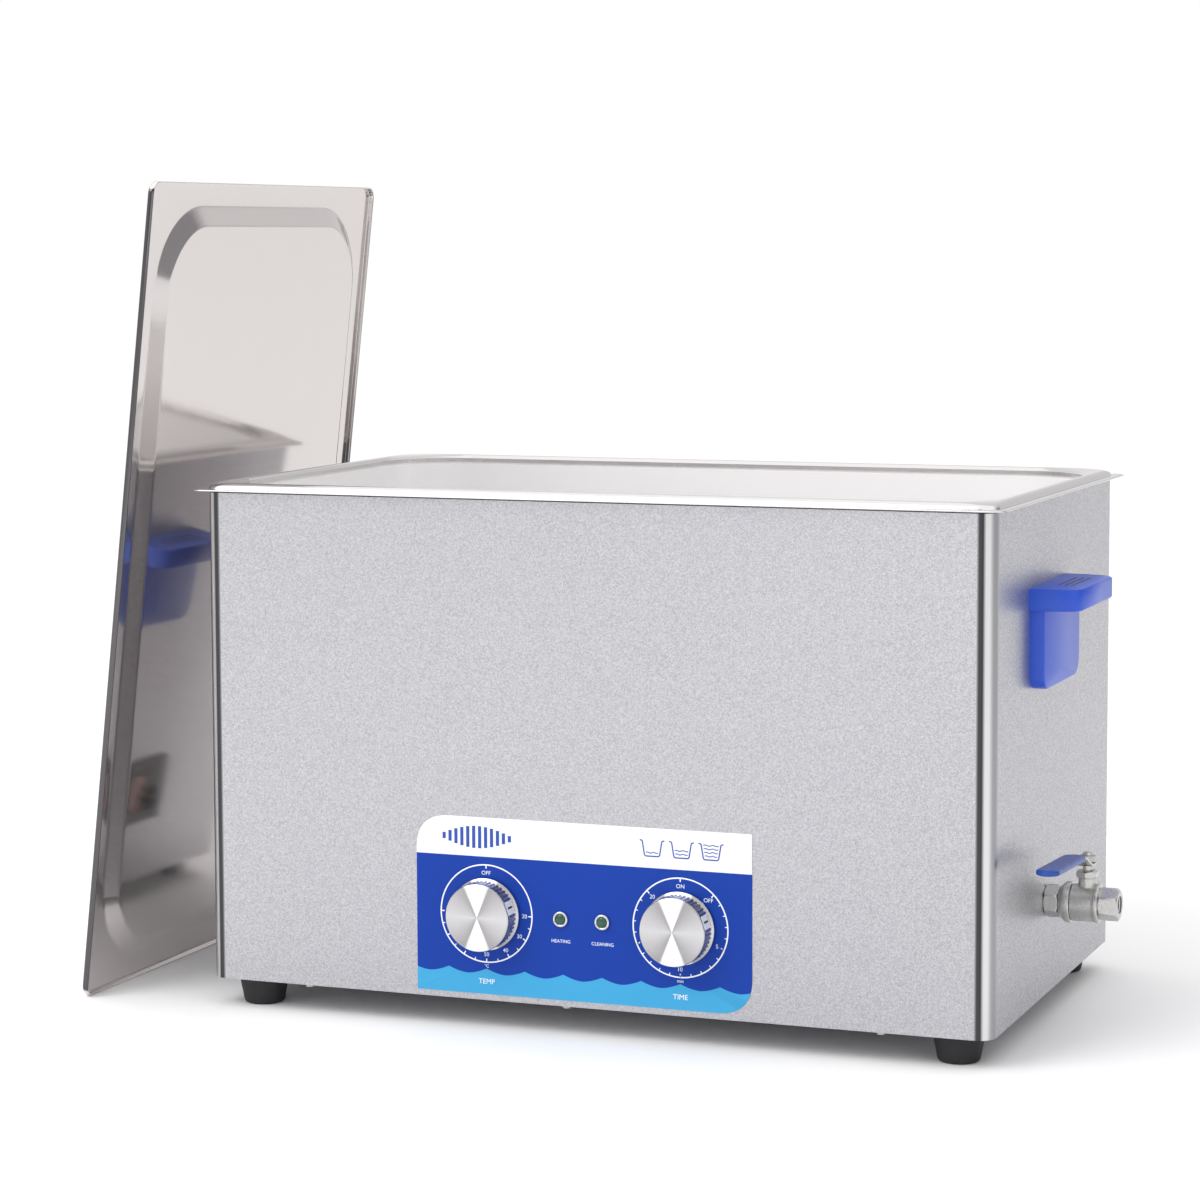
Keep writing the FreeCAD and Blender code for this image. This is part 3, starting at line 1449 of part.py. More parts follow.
def make_lid(model):
    """Pressed lid: flat flange, turned-down lip and a shallow panel pressed towards the tank."""
    s = model.sizes
    lid = model.body("lid")
    skirt = model.sketch(lid, level=-s.lid_lip)
    rounded_rectangle(skirt, 0, 0, s.lid_length, s.lid_width, s.rim_corner)
    model.pad(lid, skirt, s.lid_lip + s.sheet)
    under = model.sketch(lid, level=-s.lid_lip)
    rounded_rectangle(
        under, 0, 0, s.lid_length - 2 * s.sheet, s.lid_width - 2 * s.sheet, s.rim_corner - s.sheet
    )
    model.pocket(lid, under, s.lid_lip, along=True)
    length = s.lid_length - 2 * s.lid_flange
    width = s.lid_width - 2 * s.lid_flange
    inset = 2 * s.lid_panel_inset
    small = s.lid_panel_corner - s.lid_panel_inset
    for cutting, lift in ((False, 0), (True, s.sheet)):
        wide = model.sketch(lid, level=lift)
        rounded_rectangle(wide, 0, 0, length, width, s.lid_panel_corner)
        deep = model.sketch(lid, level=as_size(lift) - s.lid_panel_drop)
        rounded_rectangle(deep, 0, 0, length - inset, width - inset, small)
        model.loft(lid, [wide, deep], cutting)
    on_lid(model, lid)
    model.keep(lid)


def make_lid_handle(model):
    """Bent rod handle welded across the middle of the lid's outer side."""
    s = model.sizes
    handle = model.body("lid_handle")
    half = s.lid_handle_span / 2
    panel = s.sheet - s.lid_panel_drop
    crown = s.lid_handle_rise
    bend = 12
    path = model.sketch(handle, "XZ")
    points = [(-half, panel), (-half, crown - bend), (-half + bend, crown), (half - bend, crown),
              (half, crown - bend), (half, panel)]
    spots = [Vector(as_size(a).value, as_size(b).value, 0) for a, b in points]
    upright = Vector(0, 0, 1)
    left_turn = Part.Circle(Vector(spots[2].x, spots[1].y, 0), upright, bend)
    right_turn = Part.Circle(Vector(spots[3].x, spots[4].y, 0), upright, bend)
    path.addGeometry(Part.LineSegment(spots[0], spots[1]))
    path.addGeometry(Part.ArcOfCircle(left_turn, math.pi / 2, math.pi))
    path.addGeometry(Part.LineSegment(spots[2], spots[3]))
    path.addGeometry(Part.ArcOfCircle(right_turn, 0, math.pi / 2))
    path.addGeometry(Part.LineSegment(spots[4], spots[5]))
    for first, end, second, start in ((0, 2, 1, 2), (1, 1, 2, 1), (2, 2, 3, 2), (3, 1, 4, 1)):
        path.addConstraint(Sketcher.Constraint("Coincident", first, end, second, start))
    for index, (first, second) in enumerate(((0, 1), (2, 3), (4, 5))):
        for corner, point in ((1, points[first]), (2, points[second])):
            fix(path, "DistanceX", 2 * index, point[0], corner)
            fix(path, "DistanceY", 2 * index, point[1], corner)
    for arc in (1, 3):
        path.addConstraint(Sketcher.Constraint("Radius", arc, bend))
    section = model.sketch(handle, level=panel)
    circle(section, -half, 0, s.lid_handle_radius)
    pipe = handle.newObject("PartDesign::AdditivePipe", "lid_handle_sweep")
    pipe.Profile = section
    pipe.Spine = path
    on_lid(model, handle)
    model.keep(handle)


def check(model):
    """Stop if any object failed to compute or any sub-part has no sound solid."""
    for item in model.document.Objects:
        if "Invalid" in item.State or "Error" in item.State:
            raise RuntimeError(f"{item.Label} did not compute: {item.State}")
    for piece in model.parts:
        shape = piece.Shape
        if shape.isNull() or not shape.isValid() or not shape.Solids:
            raise RuntimeError(f"{piece.Label} has no sound solid")


def build():
    """Make every sub-part and return the model."""
    model = Model()
    make_tank(model)
    make_rim_gasket(model)
    make_casing(model)
    make_base(model)
    make_feet(model)
    make_base_screws(model)
    make_transducers(model)
    make_heaters(model)
    make_panel(model)
    make_dials(model)
    make_sensor(model)
    make_lamps(model)
    make_handles(model)
    make_drain(model)
    make_valve(model)
    make_inlet(model)
    make_fan(model)
    make_electronics(model)
    make_lid(model)
    make_lid_handle(model)
    model.document.recompute()
    check(model)
    return model


def main():
    model = build()
    os.makedirs("parts", exist_ok=True)
    for piece in model.parts:
        piece.Shape.exportStep(f"parts/{piece.Label}.step")
    print(f"{len(model.parts)} sub-parts written")


main()
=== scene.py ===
"""Looks for a bench ultrasonic cleaner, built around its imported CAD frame."""

import json
import logging
import math
from dataclasses import dataclass, field
from enum import Enum

import bmesh
import bpy
import numpy as np
from mathutils import Matrix, Vector


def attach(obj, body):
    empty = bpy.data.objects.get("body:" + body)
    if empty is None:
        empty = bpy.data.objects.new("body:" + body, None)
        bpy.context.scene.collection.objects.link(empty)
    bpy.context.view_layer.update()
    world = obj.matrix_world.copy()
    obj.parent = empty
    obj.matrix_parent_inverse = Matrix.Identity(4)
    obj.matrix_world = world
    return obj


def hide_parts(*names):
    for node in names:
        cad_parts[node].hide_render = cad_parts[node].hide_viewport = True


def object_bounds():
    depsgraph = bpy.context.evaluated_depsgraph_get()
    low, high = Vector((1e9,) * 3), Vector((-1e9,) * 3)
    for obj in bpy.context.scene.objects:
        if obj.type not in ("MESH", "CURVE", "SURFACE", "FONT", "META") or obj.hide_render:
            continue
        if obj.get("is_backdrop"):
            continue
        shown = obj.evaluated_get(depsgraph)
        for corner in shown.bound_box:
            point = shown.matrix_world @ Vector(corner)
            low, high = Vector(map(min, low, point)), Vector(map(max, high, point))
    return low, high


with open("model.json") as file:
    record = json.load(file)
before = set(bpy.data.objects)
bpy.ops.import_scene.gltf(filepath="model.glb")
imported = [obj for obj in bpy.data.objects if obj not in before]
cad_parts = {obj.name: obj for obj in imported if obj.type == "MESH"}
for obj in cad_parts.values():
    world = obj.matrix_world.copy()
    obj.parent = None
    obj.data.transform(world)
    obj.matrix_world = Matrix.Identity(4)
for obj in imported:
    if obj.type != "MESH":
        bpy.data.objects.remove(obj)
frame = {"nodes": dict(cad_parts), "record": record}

log = logging.getLogger("ultrasonic_cleaner")
MM = 0.001
SLOT_OF_NODE = {row["node"]: row["material_slot"] for row in frame["record"]["subparts"]}

Array = np.ndarray
Material = bpy.types.Material
Socket = bpy.types.NodeSocket


# Blender helpers


def linear(colour: str) -> tuple[float, float, float, float]:
    """Turn an sRGB hex colour into the linear colour that a shader takes.

    Args:
        colour: six hex digits, such as "C8C8C6".
    Returns:
        Red, green, blue and alpha.
    """
    values = [int(colour[i : i + 2], 16) / 255 for i in (0, 2, 4)]
    return (*[v / 12.92 if v <= 0.04045 else ((v + 0.055) / 1.055) ** 2.4 for v in values], 1.0)


def add_node(tree: bpy.types.NodeTree, kind: str, inputs: dict | None = None, **settings) -> bpy.types.Node:
    """Add one node with its settings, and fill or link its inputs.

    Args:
        tree: node tree that takes it.
        kind: Blender's name for the node type.
        inputs: socket name or number to a value, or to an output socket that is linked to it.
        settings: properties of the node.
    Returns:
        The node.
    """
    node = tree.nodes.new(kind)
    for key, value in settings.items():
        setattr(node, key, value)
    for key, value in (inputs or {}).items():
        if isinstance(value, Socket):
            tree.links.new(value, node.inputs[key])
        else:
            node.inputs[key].default_value = value
    return node


def fill_ramp(ramp: bpy.types.Node, stops: tuple[tuple[float, str], ...]) -> None:
    """Set a colour ramp's stops.

    Args:
        ramp: the ramp node, which has two stops when new.
        stops: place and hex colour of each stop, in order.
    """
    elements = ramp.color_ramp.elements
    for index, (at, colour) in enumerate(stops):
        element = elements[index] if index < 2 else elements.new(at)
        element.position = at
        element.color = linear(colour)


def add_object(name: str, data: bpy.types.ID) -> bpy.types.Object:
    """Make an object and link it to the scene.

    Args:
        name: its name.
        data: its mesh, light, curve or camera.
    Returns:
        The object.
    """
    obj = bpy.data.objects.new(name, data)
    bpy.context.scene.collection.objects.link(obj)
    return obj


def read_rows(rows: bpy.types.bpy_prop_collection, name: str, width: int = 1) -> Array:
    """Read one property of every row of a mesh's table as a whole array.

    Args:
        rows: the table, such as the mesh's vertices.
        name: the property.
        width: its numbers in each row: three for a place, one for a count.
    Returns:
        Floats, rows by width, or whole numbers where the width is one.
    """
    values = np.zeros(len(rows) * width, np.float32 if width > 1 else np.int32)
    rows.foreach_get(name, values)
    return values.reshape(-1, width) if width > 1 else values


# Finishes


@dataclass(frozen=True)
class Canvas:
    """What a finish paints on: the tree, its shader, object coordinates and noise from 0 to 1."""

    tree: bpy.types.NodeTree
    shader: bpy.types.Node
    place: Socket
    pattern: Socket


@dataclass(frozen=True)
class Finish:
    """A finish: the real material, how its surface was made and what that gives the eye.

    Its pattern is noise in the object's own space. grain is the real size of the pattern in
    millimetres, stretch draws it out along X, Y and Z, and depth is how deep it is, in millimetres.
    The roughness differs by mottle either way over the pattern.
    """

    name: str
    colour: str
    roughness: float
    metallic: float = 0.0
    coat: float = 0.0
    anisotropy: float = 0.0
    specular: float = 0.5
    grain: float = 1.0
    stretch: tuple[float, float, float] = (1.0, 1.0, 1.0)
    depth: float = 0.01
    mottle: float = 0.06
    shade: str = ""

    def material(self) -> Material:
        """Make the material once, and hand back the same one after that."""
        made = bpy.data.materials.get(self.name)
        return made or self.build()

    def build(self) -> Material:
        """Build the node tree.

        Returns:
            The new material.
        """
        material = bpy.data.materials.new(self.name)
        material.use_nodes = True
        tree = material.node_tree
        tree.nodes.clear()
        place = add_node(tree, "ShaderNodeTexCoord").outputs["Object"]
        scale = tuple(1 / (self.grain * MM) / s for s in self.stretch)
        spread = add_node(tree, "ShaderNodeMapping", {"Vector": place, "Scale": scale})
        noise = add_node(
            tree, "ShaderNodeTexNoise", {"Vector": spread.outputs[0], "Scale": 1.0, "Detail": 4.0}
        ).outputs["Fac"]
        spans = {
            "From Min": 0.3,
            "From Max": 0.7,
            "To Min": max(self.roughness - self.mottle, 0.02),
            "To Max": self.roughness + self.mottle,
        }
        rough = add_node(tree, "ShaderNodeMapRange", {"Value": noise, **spans})
        relief = {"Height": noise, "Distance": self.depth * MM, "Strength": 1.0}
        bump = add_node(tree, "ShaderNodeBump", relief)
        shader = add_node(
            tree,
            "ShaderNodeBsdfPrincipled",
            {
                "Metallic": self.metallic,
                "Roughness": rough.outputs[0],
                "Coat Weight": self.coat,
                "Anisotropic": self.anisotropy,
                "Specular IOR Level": self.specular,
                "Normal": bump.outputs[0],
            },
        )
        colour = self.tint(Canvas(tree, shader, place, noise))
        tree.links.new(colour, shader.inputs["Base Color"])
        add_node(tree, "ShaderNodeOutputMaterial", {"Surface": shader.outputs[0]})
        return material

    def mottled(self, tree: bpy.types.NodeTree, pattern: Socket) -> Socket:
        """Mix the finish's colour and its near shade by a pattern.

        Args:
            tree: the material's nodes.
            pattern: a value from 0 to 1.
        Returns:
            The mixed colour.
        """
        shades = {0: pattern, 6: linear(self.colour), 7: linear(self.shade or self.colour)}
        return add_node(tree, "ShaderNodeMix", shades, data_type="RGBA").outputs[2]

    def tint(self, canvas: Canvas) -> Socket:
        """Work out the base colour: two near shades mixed by the noise.

        Args:
            canvas: the material's nodes.
        Returns:
            The colour's socket.
        """
        return self.mottled(canvas.tree, canvas.pattern)


@dataclass(frozen=True)
class SpunMetal(Finish):
    """Metal turned on a lathe: its fine grooves run round the axis and stretch each highlight.

    Its fans list the painted highlight and shade at each part of a half turn, in pairs of place and hex
    colour: a bright painted highlight fans out above and below the middle.
    """

    painted_highlight_fans: tuple[tuple[float, str], ...] = (
        (0.0, "CDCCCE"), (0.2, "B9B7B9"), (0.365, "A09EA0"), (0.395, "F0EFF0"), (0.5, "FAF9FA"),
        (0.615, "F0EFF0"), (0.645, "A3A1A3"), (0.8, "BCBABC"), (1.0, "CDCCCE"),
    )

    def tint(self, canvas: Canvas) -> Socket:
        """Paint the highlight fans into the colour by the angle round the axis, which is the UV map's u in
        turns.

        Args:
            canvas: the material's nodes.
        Returns:
            The colour's socket.
        """
        tree = canvas.tree
        around = add_node(tree, "ShaderNodeTangent", direction_type="UV_MAP", uv_map="UVMap")
        tree.links.new(around.outputs[0], canvas.shader.inputs["Tangent"])
        flat = add_node(tree, "ShaderNodeTexCoord").outputs["UV"]
        turns = add_node(tree, "ShaderNodeSeparateXYZ", {0: flat}).outputs["X"]
        twice = add_node(tree, "ShaderNodeMath", {0: turns, 1: 2.0}, operation="MULTIPLY").outputs[0]
        half_turn = add_node(tree, "ShaderNodeMath", {0: twice}, operation="FRACT").outputs[0]
        # This ramp paints highlight fans into the base colour, as lit grooves would show them.
        ramp = add_node(tree, "ShaderNodeValToRGB", {0: half_turn})
        fill_ramp(ramp, self.painted_highlight_fans)
        return ramp.outputs[0]


@dataclass(frozen=True)
class DrawnBowl(Finish):
    """Deep-drawn stainless: the buffed rim is metal all through, the bowl below scatters softly.

    The bowl's skin is treated as part diffuse, because light in it bounces many more times than the render
    follows. Towards its top it is painted whiter and less metal, as painted bounce light. levels gives each
    height in millimetres with how much of the surface is metal there and its hex colour.
    """

    levels: tuple[tuple[float, float, str], ...] = (
        (200.0, 0.66, "E9E7E7"), (300.0, 0.3, "FFFEFE"), (330.4, 0.3, "FFFEFE"), (332.4, 1.0, "CFCCCC"),
    )

    def tint(self, canvas: Canvas) -> Socket:
        """Blend from level to level: each step mixes in the next level's metal and colour.

        Args:
            canvas: the material's nodes.
        Returns:
            The colour's socket.
        """
        tree = canvas.tree
        height = add_node(tree, "ShaderNodeSeparateXYZ", {0: canvas.place}).outputs["Z"]
        start, metal, _ = self.levels[0]
        colour = self.mottled(tree, canvas.pattern)
        # The whiter, less metal colour towards the top is painted bounce light.
        for level, metal_part, shade in self.levels[1:]:
            span = {"Value": height, "From Min": start * MM, "From Max": level * MM}
            step = add_node(tree, "ShaderNodeMapRange", span).outputs[0]
            parts = {0: step, 2: metal, 3: metal_part}
            metal = add_node(tree, "ShaderNodeMix", parts, data_type="FLOAT").outputs[0]
            shades = {0: step, 6: colour, 7: linear(shade)}
            colour = add_node(tree, "ShaderNodeMix", shades, data_type="RGBA").outputs[2]
            start = level
        tree.links.new(metal, canvas.shader.inputs["Metallic"])
        return colour


@dataclass(frozen=True)
class PressedLid(Finish):
    """Buffed sheet whose turned-down long edges carry a painted dark reflection."""

    painted_edge_reflection: str = "5C5A5C"
    edge_y: float = 161.6
    edge_blur: float = 0.3
    centre_y: float = -1.9

    def tint(self, canvas: Canvas) -> Socket:
        """Colour the sheet, and paint a dark reflection on it where |y - centre y| is more than edge_y.

        Args:
            canvas: the material's nodes.
        Returns:
            The colour's socket.
        """
        tree = canvas.tree
        across = add_node(tree, "ShaderNodeSeparateXYZ", {0: canvas.place}).outputs["Y"]
        for operation, number in (("SUBTRACT", self.centre_y * MM), ("ABSOLUTE", 0.0)):
            across = add_node(tree, "ShaderNodeMath", {0: across, 1: number}, operation=operation).outputs[0]
        low, high = ((self.edge_y + side * self.edge_blur) * MM for side in (-1, 1))
        edge = add_node(tree, "ShaderNodeMapRange", {"Value": across, "From Min": low, "From Max": high})
        sheet = self.mottled(tree, canvas.pattern)
        # The dark band on the turned-down edges is a painted reflection.
        shades = {0: edge.outputs[0], 6: sheet, 7: linear(self.painted_edge_reflection)}
        return add_node(tree, "ShaderNodeMix", shades, data_type="RGBA").outputs[2]


@dataclass(frozen=True)
class FoldedSheet(Finish):
    """Grained sheet, folded round a polished bar: the flats grained, the bends shiny and banded with painted
    reflections.

    Its bands give the painted reflections across a bend, from the long wall's edge to the short wall's, in
    pairs of place and hex colour. speckle is the part of the noise's range that the grain's two shades span.
    """

    centre_x: float = 247.0
    centre_y: float = 144.5
    bend_starts: float = 0.1
    bend_roughness: float = 0.3
    speckle: tuple[float, float] = (0.36, 0.64)
    painted_reflection_bands: tuple[tuple[float, str], ...] = (
        (0.0, "A8A8AA"), (0.08, "4A4A4C"), (0.22, "424244"), (0.32, "D4D4D4"), (0.46, "DADADA"),
        (0.62, "A2A2A4"), (0.78, "9A9A9D"), (1.0, "B6B6BA"),
    )

    def tint(self, canvas: Canvas) -> Socket:
        """Colour the grain, and polish the four upright bends and paint reflection bands on them.

        With u = |x| - centre x and v = |y| - centre y, a point is on a bend where both are more
        than bend_starts, and its place across the bend is atan2(u, v) in quarter turns.

        Args:
            canvas: the material's nodes.
        Returns:
            The colour's socket.
        """
        tree, shader = canvas.tree, canvas.shader
        low, high = self.speckle
        contrast = {"Value": canvas.pattern, "From Min": low, "From Max": high}
        grained = self.mottled(tree, add_node(tree, "ShaderNodeMapRange", contrast).outputs[0])
        split = add_node(tree, "ShaderNodeSeparateXYZ", {0: canvas.place})
        past = {}
        for key, axis, centre in ((0, "X", self.centre_x), (1, "Y", self.centre_y)):
            size = add_node(tree, "ShaderNodeMath", {0: split.outputs[axis]}, operation="ABSOLUTE").outputs[0]
            off = add_node(tree, "ShaderNodeMath", {0: size, 1: centre * MM}, operation="SUBTRACT")
            past[key] = off.outputs[0]
        nearer = add_node(tree, "ShaderNodeMath", past, operation="MINIMUM").outputs[0]
        limit = {0: nearer, 1: self.bend_starts * MM}
        bend = add_node(tree, "ShaderNodeMath", limit, operation="GREATER_THAN").outputs[0]
        angle = add_node(tree, "ShaderNodeMath", past, operation="ARCTAN2").outputs[0]
        across = add_node(tree, "ShaderNodeMath", {0: angle, 1: math.pi / 2}, operation="DIVIDE").outputs[0]
        # This ramp paints reflection bands across each bend, by the angle round it.
        ramp = add_node(tree, "ShaderNodeValToRGB", {0: across})
        fill_ramp(ramp, self.painted_reflection_bands)
        rough = shader.inputs["Roughness"].links[0].from_socket
        for socket, on_flat, on_bend in (
            ("Roughness", rough, self.bend_roughness),
            ("Metallic", self.metallic, 1.0),
        ):
            parts = {0: bend, 2: on_flat, 3: on_bend}
            mixed = add_node(tree, "ShaderNodeMix", parts, data_type="FLOAT").outputs[0]
            tree.links.new(mixed, shader.inputs[socket])
        shades = {0: bend, 6: grained, 7: ramp.outputs[0]}
        return add_node(tree, "ShaderNodeMix", shades, data_type="RGBA").outputs[2]


@dataclass(frozen=True)
class PrintedFilm(Finish):
    """Polyester film printed from behind in three fields: white, deep blue and a scalloped light blue."""

    white: str = "E9ECF0"
    light: str = "41A2D2"
    white_above: float = 109.0
    scallop_low: float = 35.2
    scallop_rise: float = 3.4
    scallop_pitch: float = 25.6
    scallop_power: float = 1.7
    crest_x: float = -64.8

    def tint(self, canvas: Canvas) -> Socket:
        """Paint the three fields.

        The lower field's edge is a row of hollow arcs. With t the distance from the middle of
        the nearest arc, as a part of half a pitch, the edge is at low + rise * t to scallop_power.

        Args:
            canvas: the material's nodes.
        Returns:
            The colour's socket.
        """
        tree = canvas.tree
        split = add_node(tree, "ShaderNodeSeparateXYZ", {0: canvas.place})
        height = split.outputs["Z"]
        edge = split.outputs["X"]
        for operation, number in (
            ("SUBTRACT", self.crest_x * MM),
            ("DIVIDE", self.scallop_pitch * MM),
            ("FRACT", 0.0),
            ("SUBTRACT", 0.5),
            ("MULTIPLY", 2.0),
            ("ABSOLUTE", 0.0),
            ("POWER", self.scallop_power),
            ("MULTIPLY", self.scallop_rise * MM),
            ("ADD", self.scallop_low * MM),
        ):
            edge = add_node(tree, "ShaderNodeMath", {0: edge, 1: number}, operation=operation).outputs[0]
        colour = linear(self.colour)
        for operation, limit, shade in (
            ("LESS_THAN", edge, self.light),
            ("GREATER_THAN", self.white_above * MM, self.white),
        ):
            inside = add_node(tree, "ShaderNodeMath", {0: height, 1: limit}, operation=operation).outputs[0]
            shades = {0: inside, 6: colour, 7: linear(shade)}
            colour = add_node(tree, "ShaderNodeMix", shades, data_type="RGBA").outputs[2]
        return colour


# Pressed and buffed stainless sheet: a near mirror with a faint warm haze.
POLISHED_STEEL = Finish(
    "buffed_stainless_sheet", "DAD4D2", 0.1, 1.0, anisotropy=0.2, grain=40, depth=0.04, mottle=0.025,
    shade="D9D6D5",
)
# The lid: the same buffed sheet, a little duller, with a dark reflection painted on its pressed edges.
LID_STEEL = PressedLid(
    "pressed_and_buffed_stainless", "DAD2CF", 0.1, 0.9, anisotropy=0.2, grain=40, depth=0.04, mottle=0.025,
    shade="D9D6D5",
)
# Deep-drawn stainless, electropolished: painted bright and soft in the bowl as bounce light, a clear shine on
# the rim.
DRAWN_STEEL = DrawnBowl(
    "electropolished_drawn_stainless", "E9E7E7", 0.17, 0.66, grain=45, stretch=(3, 3, 1), depth=0.01,
    mottle=0.04, specular=0.3, shade="E1DFDF",
)
# Bead-grained stainless sheet: an even speckle, drawn at 0.68 mm so that it shows, and longer along the short
# walls. Its folded corners carry painted reflection bands.
GRAINED_STEEL = FoldedSheet(
    "grained_stainless_sheet", "C8C7CB", 0.38, 0.9, grain=0.68, stretch=(1.0, 2.5, 1.0), depth=0.006,
    mottle=0.05, specular=0.3, shade="A8A7AC",
)
# Blasted stainless sheet: even, soft and grey.
SATIN_STEEL = Finish("blasted_stainless_sheet", "BFBFC3", 0.42, 1.0, grain=0.7, shade="B2B2B7")
# Investment-cast stainless, tumbled: soft sheen over a fine pebbled skin.
CAST_STEEL = Finish(
    "cast_stainless", "D0CFCC", 0.3, 0.88, grain=0.6, depth=0.02, mottle=0.08, shade="C2C1BE"
)
# Turned steel: clean and bright, with tool marks too fine to see one by one.
TURNED_STEEL = Finish(
    "turned_stainless", "CFCECB", 0.24, 0.9, grain=0.4, depth=0.006, mottle=0.05, shade="B1B0AD"
)
# Zinc plate, passivated: a greyer, faintly warm shine than stainless.
ZINC_STEEL = Finish("zinc_plated_steel", "B8B9B6", 0.33, 1.0, grain=0.8, mottle=0.08, shade="A9AAA4")
# Chrome on brass: hard, cool mirror.
CHROME = Finish("chrome_plated_brass", "D4D5D6", 0.08, 1.0, grain=4, depth=0.004, mottle=0.02, shade="CBCCCE")
# Spun aluminium: silky grooves round the axis, with highlight fans painted into its colour.
SPUN_ALUMINIUM = SpunMetal(
    "spun_aluminium", "D6D7D9", 0.26, 1.0, anisotropy=0.7, grain=0.4, depth=0.002, mottle=0.03
)
# A painted highlight for the knob's pointer facet: a pale, even, nearly white flat beside the grooves.
FACET_PAINTED_HIGHLIGHT = Finish(
    "facet_painted_highlight", "FAFAFB", 0.5, 0.1, grain=0.4, depth=0.004, shade="EAEAEC"
)
# Milled aluminium: light grey with a broken shine.
MILLED_ALUMINIUM = Finish("milled_aluminium", "C4C5C7", 0.35, 1.0, grain=0.6, mottle=0.07, shade="B6B7B9")
# Natural rubber, moulded: dull black with a dusty bloom.
RUBBER = Finish("moulded_rubber", "17171A", 0.62, grain=0.8, depth=0.03, mottle=0.08, shade="202023")
# Silicone rubber, moulded: soft black, a little shinier than the feet.
SILICONE = Finish("silicone_rubber", "26262A", 0.5, grain=0.9, depth=0.02, shade="303034")
# Polyester film, velvet face: clean flat colours with hardly a shine.
FILM = PrintedFilm(
    "printed_polyester_film", "0E3A9C", 0.5, specular=0.2, grain=0.7, depth=0.003, mottle=0.04
)
# Screen inks: flat, with the faint tooth of the mesh.
WHITE_INK = Finish("white_screen_ink", "F2F5FA", 0.42, grain=0.3, depth=0.002, mottle=0.04, shade="E8ECF4")
BLUE_INK = Finish("blue_screen_ink", "1E44A2", 0.42, grain=0.3, depth=0.002, mottle=0.04, shade="2549A2")
# Paint wiped into a cut line: matt black. On the handles the same black stands for painted shade in the grip
# grooves.
DARK_LINE_AND_GROOVE_SHADE = Finish("black_line_and_groove_shade", "101114", 0.5, grain=0.3, depth=0.004, mottle=0.05, shade="191A1E")
# ABS, injection moulded in a spark-eroded tool: even colour under a soft fine texture.
BLUE_ABS = Finish("moulded_blue_abs", "2C58D2", 0.34, specular=0.4, grain=0.45, mottle=0.05, shade="274FC2")
# Soft vinyl, dipped: wet-looking, with a slight orange peel.
BLUE_VINYL = Finish(
    "dipped_blue_vinyl", "0E469F", 0.36, coat=0.1, grain=2.5, depth=0.04, mottle=0.05, shade="0B3D90"
)
# Nylon, moulded: black with a low, slightly uneven sheen.
BLACK_PLASTIC = Finish(
    "moulded_black_nylon", "111214", 0.42, grain=0.5, depth=0.015, mottle=0.07, shade="191A1D"
)
# Polycarbonate, moulded in a polished tool: glossy red.
RED_PLASTIC = Finish(
    "moulded_red_polycarbonate", "B5120E", 0.25, coat=0.3, grain=1.2, depth=0.004, shade="A00F0C"
)
# Acrylic lens over an unlit lamp: glossy, deep green, with facets inside.
GREEN_LENS = Finish(
    "moulded_green_acrylic", "0A5F42", 0.14, coat=0.5, grain=1.6, depth=0.12, mottle=0.04, shade="03271A"
)
# PTFE, turned: waxy white.
PTFE = Finish("turned_ptfe", "EDECE6", 0.5, grain=0.5, depth=0.006, shade="E2E1DA")
# Piezo ceramic, fired and lapped: matt sand colour.
CERAMIC = Finish("fired_piezo_ceramic", "C9BD93", 0.6, grain=0.4, shade="BAAE86")
# Brass, plated: warm and fairly bright.
BRASS = Finish("plated_brass", "C9B067", 0.3, 1.0, grain=0.7, depth=0.006, shade="BBA25A")
# Enamelled copper wire, wound: glossy brown bands round the core.
COPPER = Finish(
    "enamelled_copper", "A4572C", 0.3, 0.8, coat=0.3, grain=0.8, stretch=(8, 8, 1), depth=0.05,
    shade="93491F",
)
# Glass-fibre board under green lacquer: smooth, with the weave faintly showing.
BOARD = Finish("lacquered_circuit_board", "0E5A34", 0.35, coat=0.3, grain=3.0, depth=0.02, shade="0B4A2B")
# Ferrite, fired: matt charcoal.
FERRITE = Finish("fired_ferrite", "2A2A2D", 0.6, grain=0.5, depth=0.02, shade="333336")

FINISH_OF_SLOT = {
    "mirror_steel": POLISHED_STEEL,
    "satin_steel": SATIN_STEEL,
    "machined_steel": CAST_STEEL,
    "zinc_steel": ZINC_STEEL,
    "rubber": RUBBER,
    "silicone": SILICONE,
    "panel_film": FILM,
    "knob_aluminium": SPUN_ALUMINIUM,
    "lens_green": GREEN_LENS,
    "chrome_trim": CHROME,
    "blue_plastic": BLUE_ABS,
    "blue_vinyl": BLUE_VINYL,
    "black_plastic": BLACK_PLASTIC,
    "red_plastic": RED_PLASTIC,
    "ptfe": PTFE,
    "aluminium": MILLED_ALUMINIUM,
    "ceramic": CERAMIC,
    "brass": BRASS,
    "circuit_board": BOARD,
    "copper_wire": COPPER,
    "ferrite": FERRITE,
}


# Surfaces


class Facing(Enum):
    """The way a piece's own Z axis points. Each value holds its X, Y and Z axes in the shared frame."""

    UP = ((1, 0, 0), (0, 1, 0), (0, 0, 1))
    DOWN = ((1, 0, 0), (0, -1, 0), (0, 0, -1))
    FRONT = ((1, 0, 0), (0, 0, 1), (0, -1, 0))
    BACK = ((1, 0, 0), (0, 0, -1), (0, 1, 0))
    RIGHT = ((0, 1, 0), (0, 0, 1), (1, 0, 0))
    LEFT = ((0, 1, 0), (0, 0, -1), (-1, 0, 0))


def stand(points: Array, origin: tuple[float, float, float], facing: Facing = Facing.UP) -> Array:
    """Turn local points and move them to their place.

    Each point becomes origin + x * X axis + y * Y axis + z * Z axis.

    Args:
        points: array of local points in millimetres, last axis of length 3.
        origin: the place of the local origin, in millimetres.
        facing: which way local Z points.
    Returns:
        The points in the shared frame, in millimetres.
    """
    return points @ np.array(facing.value, float) + np.array(origin, float)


